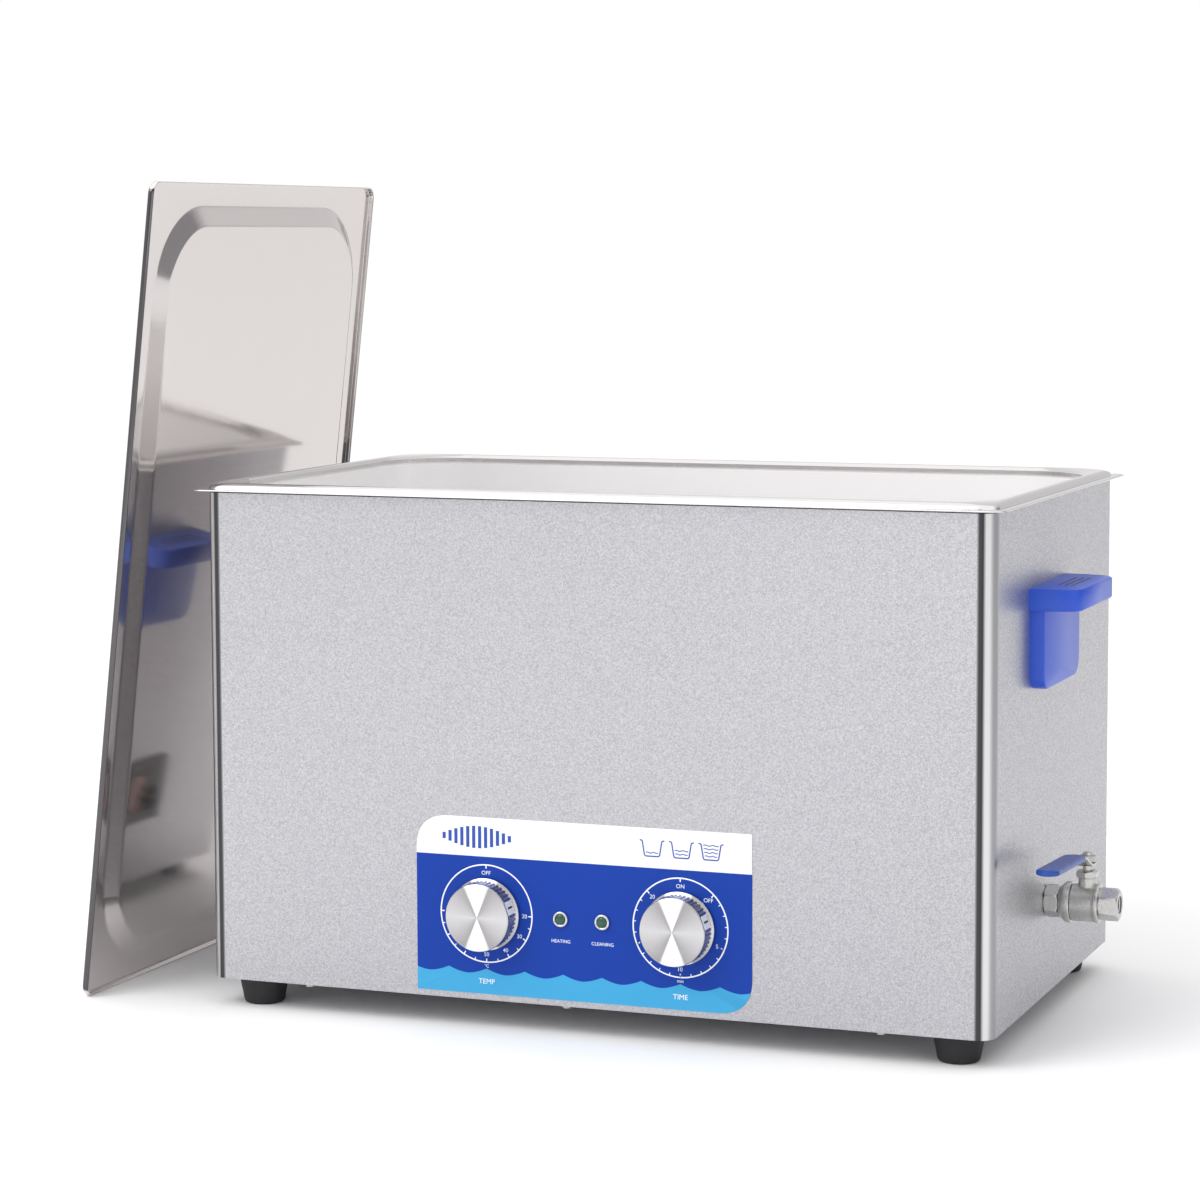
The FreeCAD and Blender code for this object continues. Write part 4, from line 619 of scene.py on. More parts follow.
def soften(points: Array, cut: Array | float, steps: int = 5, closed: bool = False) -> Array:
    """Round the corners of an outline.

    Each corner is cut back by its own distance along both sides, and the cut ends are joined by
    the parabola (1-t)(1-t) A + 2t(1-t) P + tt B, whose middle control point is the corner P.

    Args:
        points: the corners, one row each.
        cut: the distance for every corner, or one for each.
        steps: points on each rounded corner.
        closed: whether the last corner joins the first. The ends of an open outline stay.
    Returns:
        The rounded outline.
    """
    points = np.asarray(points, float)
    cuts = np.broadcast_to(np.asarray(cut, float), (len(points),)).copy()
    if not closed:
        cuts[[0, -1]] = 0
    back = np.roll(points, 1, axis=0) - points
    ahead = np.roll(points, -1, axis=0) - points
    back_length = np.maximum(np.linalg.norm(back, axis=1), 1e-9)
    ahead_length = np.maximum(np.linalg.norm(ahead, axis=1), 1e-9)
    reach = np.minimum(cuts, np.minimum(back_length, ahead_length) * 0.499)
    first = points + back / back_length[:, None] * reach[:, None]
    last = points + ahead / ahead_length[:, None] * reach[:, None]
    t = np.linspace(0, 1, steps)[None, :, None]
    arcs = (1 - t) ** 2 * first[:, None] + 2 * t * (1 - t) * points[:, None] + t**2 * last[:, None]
    flat = arcs.reshape(-1, points.shape[1])
    moved = np.linalg.norm(np.diff(flat, axis=0, prepend=flat[-1:] if closed else flat[:1] + 1), axis=1)
    return flat[moved > 1e-6]


def box_rings(rows: Array, arc_steps: int = 14, side_steps: int = 6) -> Array:
    """Stack rounded rectangles into rings.

    On a ring the corner's centre is (half x - r, half y - r), and the corner's points are that
    centre plus r (cos a, sin a) over a quarter turn. The straight sides are divided evenly.

    Args:
        rows: half length, half width, corner radius and height of each ring, in millimetres.
        arc_steps: points on each corner.
        side_steps: parts that each straight side is divided into.
    Returns:
        Points, rings by points round by 3.
    """
    rows = np.asarray(rows, float)
    half_x, half_y, radius, height = (rows[:, i, None] for i in range(4))
    quarter = np.linspace(0, np.pi / 2, arc_steps)[None, :]
    corners = []
    for index, (sx, sy) in enumerate(((1, 1), (-1, 1), (-1, -1), (1, -1))):
        angle = quarter + index * np.pi / 2
        x = sx * (half_x - radius) + radius * np.cos(angle)
        y = sy * (half_y - radius) + radius * np.sin(angle)
        corners.append(np.stack([x, y], axis=-1))
    t = np.linspace(0, 1, side_steps + 1)[1:-1][None, :, None]
    parts = []
    for here, following in zip(corners, corners[1:] + corners[:1]):
        parts += [here, here[:, -1:] * (1 - t) + following[:, :1] * t]
    outline = np.concatenate(parts, axis=1)
    level = np.broadcast_to(height[:, :, None], (len(rows), outline.shape[1], 1))
    return np.concatenate([outline, level], axis=-1)


def lathe_rings(profile: Array, steps: int = 96) -> Array:
    """Turn a profile round local Z: each row (r, h) becomes the circle (r cos a, r sin a, h).

    Args:
        profile: radius and height of each ring, in millimetres.
        steps: points on each circle.
    Returns:
        Points, rings by points round by 3.
    """
    profile = np.asarray(profile, float)
    angle = np.arange(steps) * 2 * np.pi / steps
    x = profile[:, :1] * np.cos(angle)
    y = profile[:, :1] * np.sin(angle)
    return np.stack([x, y, np.broadcast_to(profile[:, 1:2], x.shape)], axis=-1)


def hexagon_rings(flats: float, height: float, bore: float, base: float = 0.0, steps: int = 96) -> Array:
    """A nut or hexagonal bar with chamfered ends.

    The outside radius at angle a is flats / 2 / cos(a'), where a' is a's distance from the middle
    of its flat, but no more than flats / 2 + 1.7 times the distance from the nearer end.

    Args:
        flats: size across the flats.
        height: its length.
        bore: radius of its hole.
        base: height of its lower end.
        steps: points round it, a multiple of 12.
    Returns:
        Rings that run from the hole's lower edge, up the outside, to the hole's upper edge.
    """
    angle = np.arange(steps) * 2 * np.pi / steps
    flat_angle = (angle + np.pi / 6) % (np.pi / 3) - np.pi / 6
    side = flats / 2 / np.cos(flat_angle)
    depth = np.array([0, 0.25, 0.5, 0.8, 1.2])
    level = np.concatenate([depth, height - depth[::-1]])
    limit = flats / 2 * 0.97 + 1.7 * np.minimum(level, height - level)
    outside = np.minimum(side[None, :], limit[:, None])
    radius = np.concatenate([np.full((1, steps), bore), outside, np.full((1, steps), bore)])
    level = np.concatenate([[0], level, [height]])[:, None] + base
    x, y = radius * np.cos(angle), radius * np.sin(angle)
    return np.stack([x, y, np.broadcast_to(level, x.shape)], axis=-1)


def outline_rings(outline: Array, profile: Array) -> Array:
    """Stack one outline: each profile row (inset, height) shrinks it about its centre by the inset.

    A point at p becomes centre + (p - centre) * (1 - inset / half size), axis by axis.

    Args:
        outline: points of a closed outline, in millimetres.
        profile: inset and height of each ring.
    Returns:
        Points, rings by points round by 3.
    """
    profile = np.asarray(profile, float)
    low, high = outline.min(0), outline.max(0)
    centre, half = (low + high) / 2, (high - low) / 2
    factor = 1 - profile[:, :1] / half
    flat = centre + (outline - centre)[None] * factor[:, None, :]
    level = np.broadcast_to(profile[:, 1][:, None, None], (*flat.shape[:2], 1))
    return np.concatenate([flat, level], axis=-1)


def tangents(path: Array) -> Array:
    """Unit direction at each point of a path: the difference of its neighbours, over its length."""
    direction = np.gradient(path, axis=0)
    return direction / np.linalg.norm(direction, axis=1)[:, None]


def lengths(path: Array) -> Array:
    """Distance along a path from its start to each of its points."""
    return np.concatenate([[0], np.cumsum(np.linalg.norm(np.diff(path, axis=0), axis=1))])


def swept_rings(path: Array, across: Array, section: Array) -> Array:
    """Carry a flat section along a path in a plane.

    At each path point the section's first coordinate runs along "across", the plane's normal, and
    its second along the path's own normal, which is across x tangent.

    Args:
        path: points of the path, in millimetres.
        across: unit normal of the path's plane.
        section: (a, b) points, either one section or one for each path point.
    Returns:
        Points, path points by section points by 3.
    """
    normal = np.cross(across, tangents(path))
    section = np.broadcast_to(section, (len(path), *section.shape[-2:]))
    return path[:, None] + section[..., :1] * across + section[..., 1:] * normal[:, None]


class Piece:
    """Points and faces that grow ring stack by ring stack, and become one Blender object."""

    def __init__(self, name: str) -> None:
        """Start an empty piece.

        Args:
            name: the object's name.
        """
        self.name = name
        self.points: list[Array] = []
        self.faces: list[list[int]] = []
        self.count = 0

    def skin(self, rings: Array, capped: bool = True, looped: bool = False) -> "Piece":
        """Cover a stack of rings with four-sided faces.

        The face after point j of ring i has the corners (i, j), (i, j+1), (i+1, j+1), (i+1, j).

        Args:
            rings: points, rings by points round by 3, in millimetres.
            capped: close both ends with a fan to the end ring's middle.
            looped: join the last ring to the first.
        Returns:
            The piece itself.
        """
        m, n = rings.shape[:2]
        row = np.arange(m if looped else m - 1)[:, None]
        column = np.arange(n)[None, :]
        after, above = (column + 1) % n, (row + 1) % m
        quads = np.stack([row * n + column, row * n + after, above * n + after, above * n + column], axis=-1)
        self.faces += (quads.reshape(-1, 4) + self.count).tolist()
        points = [rings.reshape(-1, 3)]
        if capped and not looped:
            points += [rings[0].mean(0)[None], rings[-1].mean(0)[None]]
            around = np.arange(n)
            following = (around + 1) % n
            first = np.stack([following, around, np.full(n, m * n)], axis=-1)
            last = np.stack([around + (m - 1) * n, following + (m - 1) * n, np.full(n, m * n + 1)], axis=-1)
            self.faces += (np.concatenate([first, last]) + self.count).tolist()
        self.points += points
        self.count += sum(len(p) for p in points)
        return self

    def mesh(self, points: Array, faces: list[list[int]]) -> "Piece":
        """Add ready points and faces.

        Args:
            points: points in millimetres.
            faces: corner numbers.
        Returns:
            The piece itself.
        """
        self.points.append(points)
        self.faces += [[corner + self.count for corner in face] for face in faces]
        self.count += len(points)
        return self

    def finish(
        self,
        finish: Finish,
        slot: str,
        body: str = "housing",
        replaces: tuple[str, ...] = (),
        sharp: float = 38,
    ) -> bpy.types.Object:
        """Make the object, dress it and tie it to the frame.

        Args:
            finish: its material.
            slot: the record's material slot; not used.
            body: the CAD body that it moves with.
            replaces: CAD nodes that it stands for.
            sharp: edges that turn more than this many degrees stay sharp.
        Returns:
            The object.
        """
        mesh = bpy.data.meshes.new(self.name)
        mesh.from_pydata((np.concatenate(self.points) * MM).tolist(), [], self.faces)
        tidy = bmesh.new()
        tidy.from_mesh(mesh)
        bmesh.ops.remove_doubles(tidy, verts=tidy.verts, dist=1e-7)
        bmesh.ops.dissolve_degenerate(tidy, edges=tidy.edges, dist=1e-7)
        bmesh.ops.recalc_face_normals(tidy, faces=tidy.faces)
        tidy.to_mesh(mesh)
        tidy.free()
        mesh.shade_smooth()
        mesh.set_sharp_from_angle(angle=math.radians(sharp))
        mesh.materials.append(finish.material())
        obj = add_object(self.name, mesh)
        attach(obj, body)
        if replaces:
            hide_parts(*replaces)
        log.info("%s: %d faces on %s", self.name, len(mesh.polygons), body)
        return obj


def wrap_around(obj: bpy.types.Object, centre: tuple[float, float]) -> None:
    """Give a round piece that faces along Y a UV map whose u is the angle round its axis.

    u is the angle about the axis as a part of a turn, and v is the distance from it in metres.

    Args:
        obj: the piece.
        centre: x and z of its axis, in millimetres.
    """
    mesh = obj.data
    layer = mesh.uv_layers.new(name="UVMap")
    points = read_rows(mesh.vertices, "co", 3)[read_rows(mesh.loops, "vertex_index")]
    x, z = points[:, 0] - centre[0] * MM, points[:, 2] - centre[1] * MM
    turn = np.arctan2(z, x) / (2 * np.pi) % 1
    # A face that crosses the seam keeps its corners together on the far side of it.
    starts = read_rows(mesh.polygons, "loop_start")
    totals = read_rows(mesh.polygons, "loop_total")
    owner = np.repeat(np.arange(len(starts)), totals)
    highest = np.maximum.reduceat(turn, starts)[owner]
    turn = np.where(highest - turn > 0.5, turn + 1, turn)
    layer.data.foreach_set("uv", np.stack([turn, np.hypot(x, z)], axis=-1).astype(np.float32).ravel())


# Sub-assemblies

# Middles of the dials and lamps on the front wall, in millimetres.
DIAL_PLACES = (-64.8, 63.2)
LAMP_PLACES = (-15.0, 12.5)
DIAL_HEIGHT = 73.3


# Half length, half width and corner radius of the two small rings that close a drawn floor.
CLOSING_RINGS = ((120, 60, 20), (1, 1, 0.9))


@dataclass
class Tank:
    """Deep-drawn tank with its lip and bead, in millimetres."""

    half_length: float = 250.0
    half_width: float = 147.5
    corner: float = 50.0
    floor: float = 136.8
    floor_round: float = 15.0
    lip: float = 332.8
    lip_half: tuple[float, float] = (265.0, 162.5)
    lip_corner: float = 8.0
    lip_round: float = 0.3
    bead_rise: float = 4.0
    bead_half: tuple[float, float] = (258.7, 156.2)
    bead_corner: float = 11.0
    bead_power: float = 0.55
    bead_ends: float = 0.94
    sheet: float = 1.0

    def bowl(self, half: tuple[float, float, float], radius: float, floor: float) -> list[tuple[float, ...]]:
        """Rings of a bowl's rounded foot, from the floor up.

        With a from 0 to a quarter turn, a ring is inset by radius (1 - sin a) at the height
        floor + radius (1 - cos a).

        Args:
            half: half length, half width and corner radius of the walls.
            radius: radius between walls and floor.
            floor: height of the floor.
        Returns:
            Half length, half width, corner radius and height of each ring.
        """
        quarter = np.linspace(0, np.pi / 2, 9)
        insets = radius * (1 - np.sin(quarter))
        levels = floor + radius * (1 - np.cos(quarter))
        return [(*[size - inset for size in half], level) for inset, level in zip(insets, levels)]

    def rows(self) -> Array:
        """The tank's rings, from the middle of its underside, over the lip, to the middle of its floor.

        Each row is half length, half width, corner radius and height. The bead is half a wave: its
        height is lip + rise * sin(pi s) ^ power for s from 0 outside to 1 inside. Past bead_ends
        it stays level, a little above the lip, and turns down into the bowl's wall.
        """
        inside = (self.half_length, self.half_width, self.corner)
        outer = tuple(size + self.sheet for size in inside)
        under = self.floor - self.sheet
        rows = [(*ring, under) for ring in CLOSING_RINGS[::-1]]
        rows += self.bowl(outer, self.floor_round + self.sheet, under)
        low, (x, y), edge = self.lip - self.sheet, self.lip_half, self.lip_round
        rows += [(*outer, low - 0.2), (outer[0] + 0.4, outer[1] + 0.4, outer[2], low)]
        rows += [(x - edge, y - edge, self.lip_corner, low), (x, y, self.lip_corner, low + edge)]
        rows += [(x, y, self.lip_corner, self.lip - edge)]
        rows += [(x - edge, y - edge, self.lip_corner - edge, self.lip)]
        s = np.linspace(0, 1, 17)
        curves = s * s * (3 - 2 * s)
        height = self.lip + self.bead_rise * np.sin(np.pi * np.clip(s, 0, self.bead_ends)) ** self.bead_power
        outside = (*self.bead_half, self.bead_corner)
        rows += [
            (*[a * (1 - w) + b * w for a, b, w in zip(outside, inside, (part, part, curve))], level)
            for part, curve, level in zip(s, curves, height)
        ]
        rows += [(*inside, self.lip - 2), *self.bowl(inside, self.floor_round, self.floor)[::-1]]
        rows += [(*ring, self.floor) for ring in CLOSING_RINGS]
        return np.array(rows)

    def build(self) -> None:
        """Make the tank."""
        Piece("drawn_tank").skin(box_rings(self.rows(), 18)).finish(
            DRAWN_STEEL, "mirror_steel", replaces=("tank",), sharp=60
        )


@dataclass
class Lid:
    """Loose pressed lid, drawn flat and then stood in its lean."""

    half: tuple[float, float] = (265.0, 162.5)
    corner: float = 8.0
    sheet: float = 1.0
    lip: float = 3.5
    flange: float = 16.0
    panel_corner: float = 58.0
    panel_drop: float = 5.5
    panel_inset: float = 11.5
    edge_round: float = 1.6
    hem: float = 0.25
    lean: float = 6.38
    foot_x: float = -343.6
    centre_y: float = -1.9
    handle_half: float = 60.0
    handle_rise: float = 32.0
    handle_radius: float = 4.0
    handle_bend: float = 12.0

    def rows(self) -> Array:
        """The lid's rings, from the middle of its outer side, round the lip, to the middle inside.

        The pressed step is a straight slope whose two folds are rounded.
        """
        x, y = self.half
        deep, inset = self.panel_drop, self.panel_inset
        slope = soften([(-3, 0), (0, 0), (inset, -deep), (inset + 3, -deep)], 1.4, 6)
        turn = np.linspace(0, np.pi / 2, 6)

        def step(lift: float) -> list[tuple[float, ...]]:
            """The pressed step's rings, this far above the sheet's inner face."""
            start = (x - self.flange, y - self.flange, self.panel_corner)
            return [(*[size - i for size in start], lift + drop) for i, drop in slope]

        def fold(radius: float) -> list[tuple[float, ...]]:
            """The rings of the lip's fold on a circle of this radius, from the flange outwards."""
            start = (x - self.edge_round, y - self.edge_round, self.corner - self.edge_round)
            level = self.sheet - self.edge_round
            spread, rise = radius * np.sin(turn), radius * np.cos(turn)
            return [(*[size + out for size in start], level + up) for out, up in zip(spread, rise)]

        rows = [(*ring, self.sheet - deep) for ring in CLOSING_RINGS[::-1]]
        rows += [*step(self.sheet)[::-1], *fold(self.edge_round)]
        for inward, corner, above in (
            (0.0, self.corner, self.hem),
            (self.hem, 7.7, 0.0),
            (self.sheet - self.hem, 7.3, 0.0),
            (self.sheet, 7.0, self.hem),
        ):
            rows.append((x - inward, y - inward, corner, above - self.lip))
        rows += [*fold(self.edge_round - self.sheet)[::-1], *step(0.0)]
        rows += [(*ring, -deep) for ring in CLOSING_RINGS]
        return np.array(rows)

    def stand_up(self, points: Array) -> Array:
        """Lean flat points about Y and put the lip's edge on the floor.

        Args:
            points: points in the flat lid's frame, whose Z is its outer side.
        Returns:
            Points in the shared frame, in millimetres.
        """
        lean = math.radians(self.lean)
        sine, cosine = math.sin(lean), math.cos(lean)
        axes = np.array([(sine, 0, cosine), (0, 1, 0), (-cosine, 0, sine)])
        reach = self.half[0]
        middle_x = self.foot_x + reach * sine - self.lip * cosine
        return points @ axes + (middle_x, self.centre_y, reach * cosine + self.lip * sine)

    def handle_path(self) -> Array:
        """The bent rod's centre line: two legs and a bar, with parabola bends."""
        low, high, half = self.sheet - self.panel_drop, self.handle_rise, self.handle_half
        corners = [(-half, 0, low), (-half, 0, high), (half, 0, high), (half, 0, low)]
        return soften(np.array(corners), self.handle_bend * 1.25, 14)

    def build(self) -> None:
        """Make the lid and its handle."""
        sheet = Piece("pressed_lid").skin(self.stand_up(box_rings(self.rows(), 18)))
        sheet.finish(LID_STEEL, "mirror_steel", "lid_sheet", ("lid",), sharp=60)
        angle = np.linspace(0, 2 * np.pi, 32, endpoint=False)
        circle = self.handle_radius * np.stack([np.cos(angle), np.sin(angle)], axis=-1)
        rod = swept_rings(self.handle_path(), np.array([0.0, 1.0, 0.0]), circle)
        handle = Piece("bent_rod_handle").skin(self.stand_up(rod))
        for side in (-1, 1):
            low = self.sheet - self.panel_drop
            weld = lathe_rings(soften([(5.6, low), (4.9, low + 0.9), (4.0, low + 1.8)], 0.6), 40)
            weld[..., 0] += side * self.handle_half
            handle.skin(self.stand_up(weld))
        handle.finish(POLISHED_STEEL, "mirror_steel", "lid_sheet", ("lid_handle",))


@dataclass
class Foot:
    """One tapered rubber foot; four of them are one piece."""

    x: float = 231.6
    y: float = 131.3
    top_radius: float = 16.5
    bottom_radius: float = 12.7
    height: float = 19.6
    recess_radius: float = 7.0
    recess_depth: float = 10.0
    bore: float = 2.6

    def build(self) -> None:
        """Make the four feet: a rounded cone with a recess for its screw."""
        bore, recess, deep = self.bore, self.recess_radius, self.recess_depth
        corners = [
            (bore, self.height), (bore, deep), (recess, deep), (recess, 0), (self.bottom_radius, 0),
            (self.top_radius, self.height), (bore, self.height),
        ]
        profile = soften(corners, [0, 0.3, 0.8, 0.8, 2.2, 0.8, 0], 6)
        feet = Piece("rubber_feet")
        for x in (-self.x, self.x):
            for y in (-self.y, self.y):
                feet.skin(stand(lathe_rings(profile, 64), (x, y, 0)), capped=False)
        feet.finish(RUBBER, "rubber", replaces=("feet",))


@dataclass
class Knob:
    """Spun aluminium cap with a fluted skirt, an indicator facet and a filled line."""

    name: str
    node: str
    body: str
    x: float
    z: float = DIAL_HEIGHT
    back: float = -156.7
    base_radius: float = 22.6
    face_radius: float = 21.2
    height: float = 15.0
    flutes: int = 48
    flute_depth: float = 0.03
    points_to: float = 71.0
    facet: float = 0.978

    def radii(self, profile: Array, angle: Array) -> Array:
        """The knob's radius at each ring and angle.

        The side is r * (1 - depth * (1 + cos(flutes * a)) / 2) where the ring is fluted, and no
        ring passes the flat of the facet, which is at "facet" of the face's radius.

        Args:
            profile: radius, height and flute depth of each ring.
            angle: angles round the axis.
        Returns:
            Rings by angles.
        """
        wave = (1 + np.cos(self.flutes * angle)) / 2
        radius = profile[:, :1] * (1 - profile[:, 2:3] * wave)
        off = np.cos(angle - math.radians(90 - self.points_to))
        flat = np.where(off > 0.9, self.face_radius * self.facet / np.maximum(off, 0.1), 1e3)
        near_face = np.clip((profile[:, 1:2] - 2.9) / 0.6, 0, 1)
        return radius * (1 - near_face) + np.minimum(radius, flat) * near_face

    def build(self) -> None:
        """Make the knob and its line."""
        r, h = self.face_radius, self.height
        base, flute = self.base_radius, self.flute_depth
        hollow = [(3.0, 2.4, 0), (6.0, 2.4, 0), (6.0, 13.0, 0), (18.4, 13.0, 0), (18.4, 0.0, 0)]
        skirt = [(base - 0.3, 0.0, 0), (base, 0.3, 0), (base, 1.9, 0), (base - 0.4, 2.3, 0), (r + 0.4, 2.6, 0)]
        side = [(r, 3.0, 0), (r, 3.5, flute), (r, h - 2.0, flute), (r, h - 1.4, 0), (r - 0.15, h - 0.7, 0)]
        rim = [(r - 0.5, h - 0.2, 0), (r - 1.0, h, 0), (r - 1.7, h - 0.12, 0)]
        dish = [(14.0, h - 0.35, 0), (7.0, h - 0.5, 0), (0.6, h - 0.55, 0)]
        profile = np.array(hollow + skirt + side + rim + dish)
        angle = np.arange(self.flutes * 8) * 2 * np.pi / (self.flutes * 8)
        radius = self.radii(profile, angle)
        height = np.broadcast_to(profile[:, 1:2], radius.shape)
        rings = np.stack([radius * np.cos(angle), radius * np.sin(angle), height], axis=-1)
        at = (self.x, self.back, self.z)
        cap = Piece(self.name).skin(stand(rings, at, Facing.FRONT))
        wrap_around(cap.finish(SPUN_ALUMINIUM, "knob_aluminium", self.body, (self.node,)), (self.x, self.z))
        # The facet strip is a painted highlight; the line is the knob's filled indicator line.
        for part, finish, width, lift, low, high in (
            ("facet", FACET_PAINTED_HIGHLIGHT, 8.4, 0.12, 3.4, h - 1.4),
            ("line", DARK_LINE_AND_GROOVE_SHADE, 1.2, 0.2, 5.2, h - 3.4),
        ):
            strip = stand(self.strip(r * self.facet, width, lift, low, high), at, Facing.FRONT)
            Piece(f"{self.name}_{part}").skin(strip).finish(finish, "knob_aluminium", self.body)

    def strip(self, radius: float, width: float, lift: float, low: float, high: float) -> Array:
        """A thin strip along the facet, in the knob's own frame.

        Its corners are radius + (0 or lift) along the pointer, +- width / 2 across it.

        Args:
            radius: distance of its back from the axis.
            width: its width.
            lift: its thickness.
            low: where it starts along the axis.
            high: where it ends.
        Returns:
            Points, 2 by 4 by 3.
        """
        pointer = math.radians(90 - self.points_to)
        out = np.array([math.cos(pointer), math.sin(pointer), 0])
        side = np.array([-math.sin(pointer), math.cos(pointer), 0]) * width / 2
        back, front = radius - 0.1, radius + lift
        ring = np.array([back * out - side, front * out - side, front * out + side, back * out + side])
        return ring[None] + np.array([[[0, 0, low]], [[0, 0, high]]])


def ribbon(path: Array, width: float, thick: float) -> Array:
    """A flat stroke along a path in local X and Y, as rings of four points.

    At each point the corners are path +- width / 2 along the path's left normal, at heights 0
    and thick.

    Args:
        path: points of the stroke's middle line.
        width: its width.
        thick: its thickness.
    Returns:
        Points, path points by 4 by 3.
    """
    along = tangents(path)
    left = np.stack([-along[:, 1], along[:, 0]], axis=-1) * width / 2
    side = np.array([-1, 1, 1, -1])[None, :, None]
    flat = path[:, None] + left[:, None] * side
    level = np.broadcast_to(np.array([0, 0, thick, thick])[None, :, None], (*flat.shape[:2], 1))
    return np.concatenate([flat, level], axis=-1)


# Height of the built-in font's capitals, as a part of its size.
CAPITAL_PART = 0.7


def lettering(text: str, size: float) -> tuple[Array, list[list[int]]]:
    """Make a word or number from the built-in font, centred on its own box.

    Args:
        text: what it says.
        size: height of its capitals, in millimetres.
    Returns:
        Points in millimetres and faces.
    """
    curve = bpy.data.curves.new("lettering", "FONT")
    curve.body = text
    curve.size = size / CAPITAL_PART
    curve.extrude = 0.02
    curve.resolution_u = 4
    holder = add_object("lettering", curve)
    bpy.context.view_layer.update()
    mesh = bpy.data.meshes.new_from_object(holder)
    points = read_rows(mesh.vertices, "co", 3).astype(float)
    faces = [list(face.vertices) for face in mesh.polygons]
    bpy.data.objects.remove(holder)
    bpy.data.curves.remove(curve)
    bpy.data.meshes.remove(mesh)
    return points - (points.min(0) + points.max(0)) / 2, faces


@dataclass
class Dial:
    """The printed scale round one knob. Angles run clockwise from the top, in degrees."""

    x: float
    numbers: dict[str, float]
    major: Array
    minor: Array
    title: str
    unit: str
    z: float = DIAL_HEIGHT
    radius: float = 30.6
    line: float = 0.85
    tick: float = 2.3
    number_radius: float = 25.6


@dataclass
class ControlPanel:
    """Printed overlay: film, dial scales, lamp labels and water-level pictures.

    Each line of words has the height of its capitals and of its middle, in millimetres. basins gives
    the middle of each picture and its number of wave lines.
    """

    left: float = -111.9
    right: float = 109.1
    bottom: float = 22.5
    top: float = 133.5
    corner: float = 22.0
    wall: float = -155.5
    thick: float = 0.6
    ink: float = 0.03
    number_size: float = 2.5
    unit_line: tuple[float, float] = (2.0, 40.4)
    title_line: tuple[float, float] = (3.2, 30.6)
    label_line: tuple[float, float] = (2.1, 59.5)
    header: float = 121.0
    basins: tuple[tuple[float, int], ...] = ((45.0, 1), (64.0, 2), (83.0, 4))
    bars_left: float = -93.0
    bars_length: float = 44.0
    dials: list[Dial] = field(default_factory=list)

    def film(self) -> None:
        """Make the film: square corners, but for a round one top left and one bottom right."""
        left, right, low, high = self.left, self.right, self.bottom, self.top
        corners = [(left, low), (right, low), (right, high), (left, high)]
        outline = soften(corners, [0.8, self.corner, 0.8, self.corner], 16, closed=True)
        rings = outline_rings(outline, [(0, 0), (0, self.thick - 0.15), (0.15, self.thick)])
        Piece("panel_film").skin(stand(rings, (0, self.wall, 0), Facing.FRONT)).finish(
            FILM, "panel_film", replaces=("control_panel",)
        )

    def on_face(self, points: Array, x: float = 0, z: float = 0) -> Array:
        """Lay local points on the film's face, with their origin at x and z."""
        return stand(points, (x, self.wall - self.thick, z), Facing.FRONT)

    def write(self, print_piece: Piece, text: str, size: float, x: float, z: float) -> None:
        """Print a word or number.

        Args:
            print_piece: the piece that takes it.
            text: what it says.
            size: height of its capitals.
            x: its middle.
            z: its middle's height.
        """
        points, faces = lettering(text, size)
        print_piece.mesh(self.on_face(points, x, z), faces)

    def scale(self, print_piece: Piece, dial: Dial) -> None:
        """Draw one dial's ring, ticks, numbers, title and unit.

        A mark at clockwise angle c is at (r sin c, r cos c) from the dial's middle.

        Args:
            print_piece: the piece that takes the marks.
            dial: what to draw.
        """

        def polar(radius: float, clockwise: float) -> tuple[float, float]:
            """The place at a radius and a clockwise angle."""
            angle = math.radians(clockwise)
            return radius * math.sin(angle), radius * math.cos(angle)

        inner, outer = dial.radius - dial.line / 2, dial.radius + dial.line / 2
        ring = lathe_rings([(inner, 0), (outer, 0), (outer, self.ink), (inner, self.ink)], 128)
        print_piece.skin(self.on_face(ring, dial.x, dial.z), looped=True)
        for marks, length, width in ((dial.major, dial.tick, 0.75), (dial.minor, dial.tick * 0.75, 0.55)):
            for mark in marks:
                ends = np.array([polar(dial.radius, mark), polar(dial.radius - length, mark)])
                tick = ribbon(ends, width, self.ink * 1.05)
                print_piece.skin(self.on_face(tick, dial.x, dial.z))
        for text, mark in dial.numbers.items():
            x, z = polar(dial.number_radius, mark)
            self.write(print_piece, text, self.number_size, dial.x + x, dial.z + z)
        for text, (size, z) in ((dial.unit, self.unit_line), (dial.title, self.title_line)):
            self.write(print_piece, text, size, dial.x, z)

    def basin(self, print_piece: Piece, x: float, z: float, waves: int) -> None:
        """Draw a plain flared basin with liquid up to a level, as one or more wave lines.

        Each wave is z = level + 0.3 sin(4 pi s) across the basin, 2.2 mm above the last.

        Args:
            print_piece: the piece that takes the marks.
            x: its middle.
            z: its middle's height.
            waves: how many wave lines.
        """
        walls = [(-8, 5), (-6.4, 4.8), (-4.8, -4.8), (4.8, -4.8), (6.4, 4.8), (8, 5)]
        outline = soften(np.array(walls, float), 1.3)
        print_piece.skin(self.on_face(ribbon(outline, 0.85, self.ink), x, z))
        phase = np.linspace(0, 1, 28)
        for index in range(waves):
            level = -2.6 + 2.2 * index
            reach = 4.0 + 0.33 * index
            wave = np.stack([reach * (2 * phase - 1), level + 0.3 * np.sin(4 * np.pi * phase)], axis=-1)
            print_piece.skin(self.on_face(ribbon(wave, 0.62, self.ink * 1.1), x, z))

    def emblem(self) -> None:
        """Draw a plain row of upright bars, like a sound level.

        With t from 0 to 1 along the row, a bar is 4 + 10 sin(pi t) millimetres high.
        """
        piece = Piece("panel_sound_bars")
        for along in np.linspace(0.0, 1.0, 12):
            height = 4.0 + 10.0 * math.sin(math.pi * along)
            bar = ribbon(np.array([(0.0, -height / 2), (0.0, height / 2)]), 2.2, self.ink)
            piece.skin(self.on_face(bar, self.bars_left + self.bars_length * along, self.header))
        piece.finish(BLUE_INK, "panel_film")

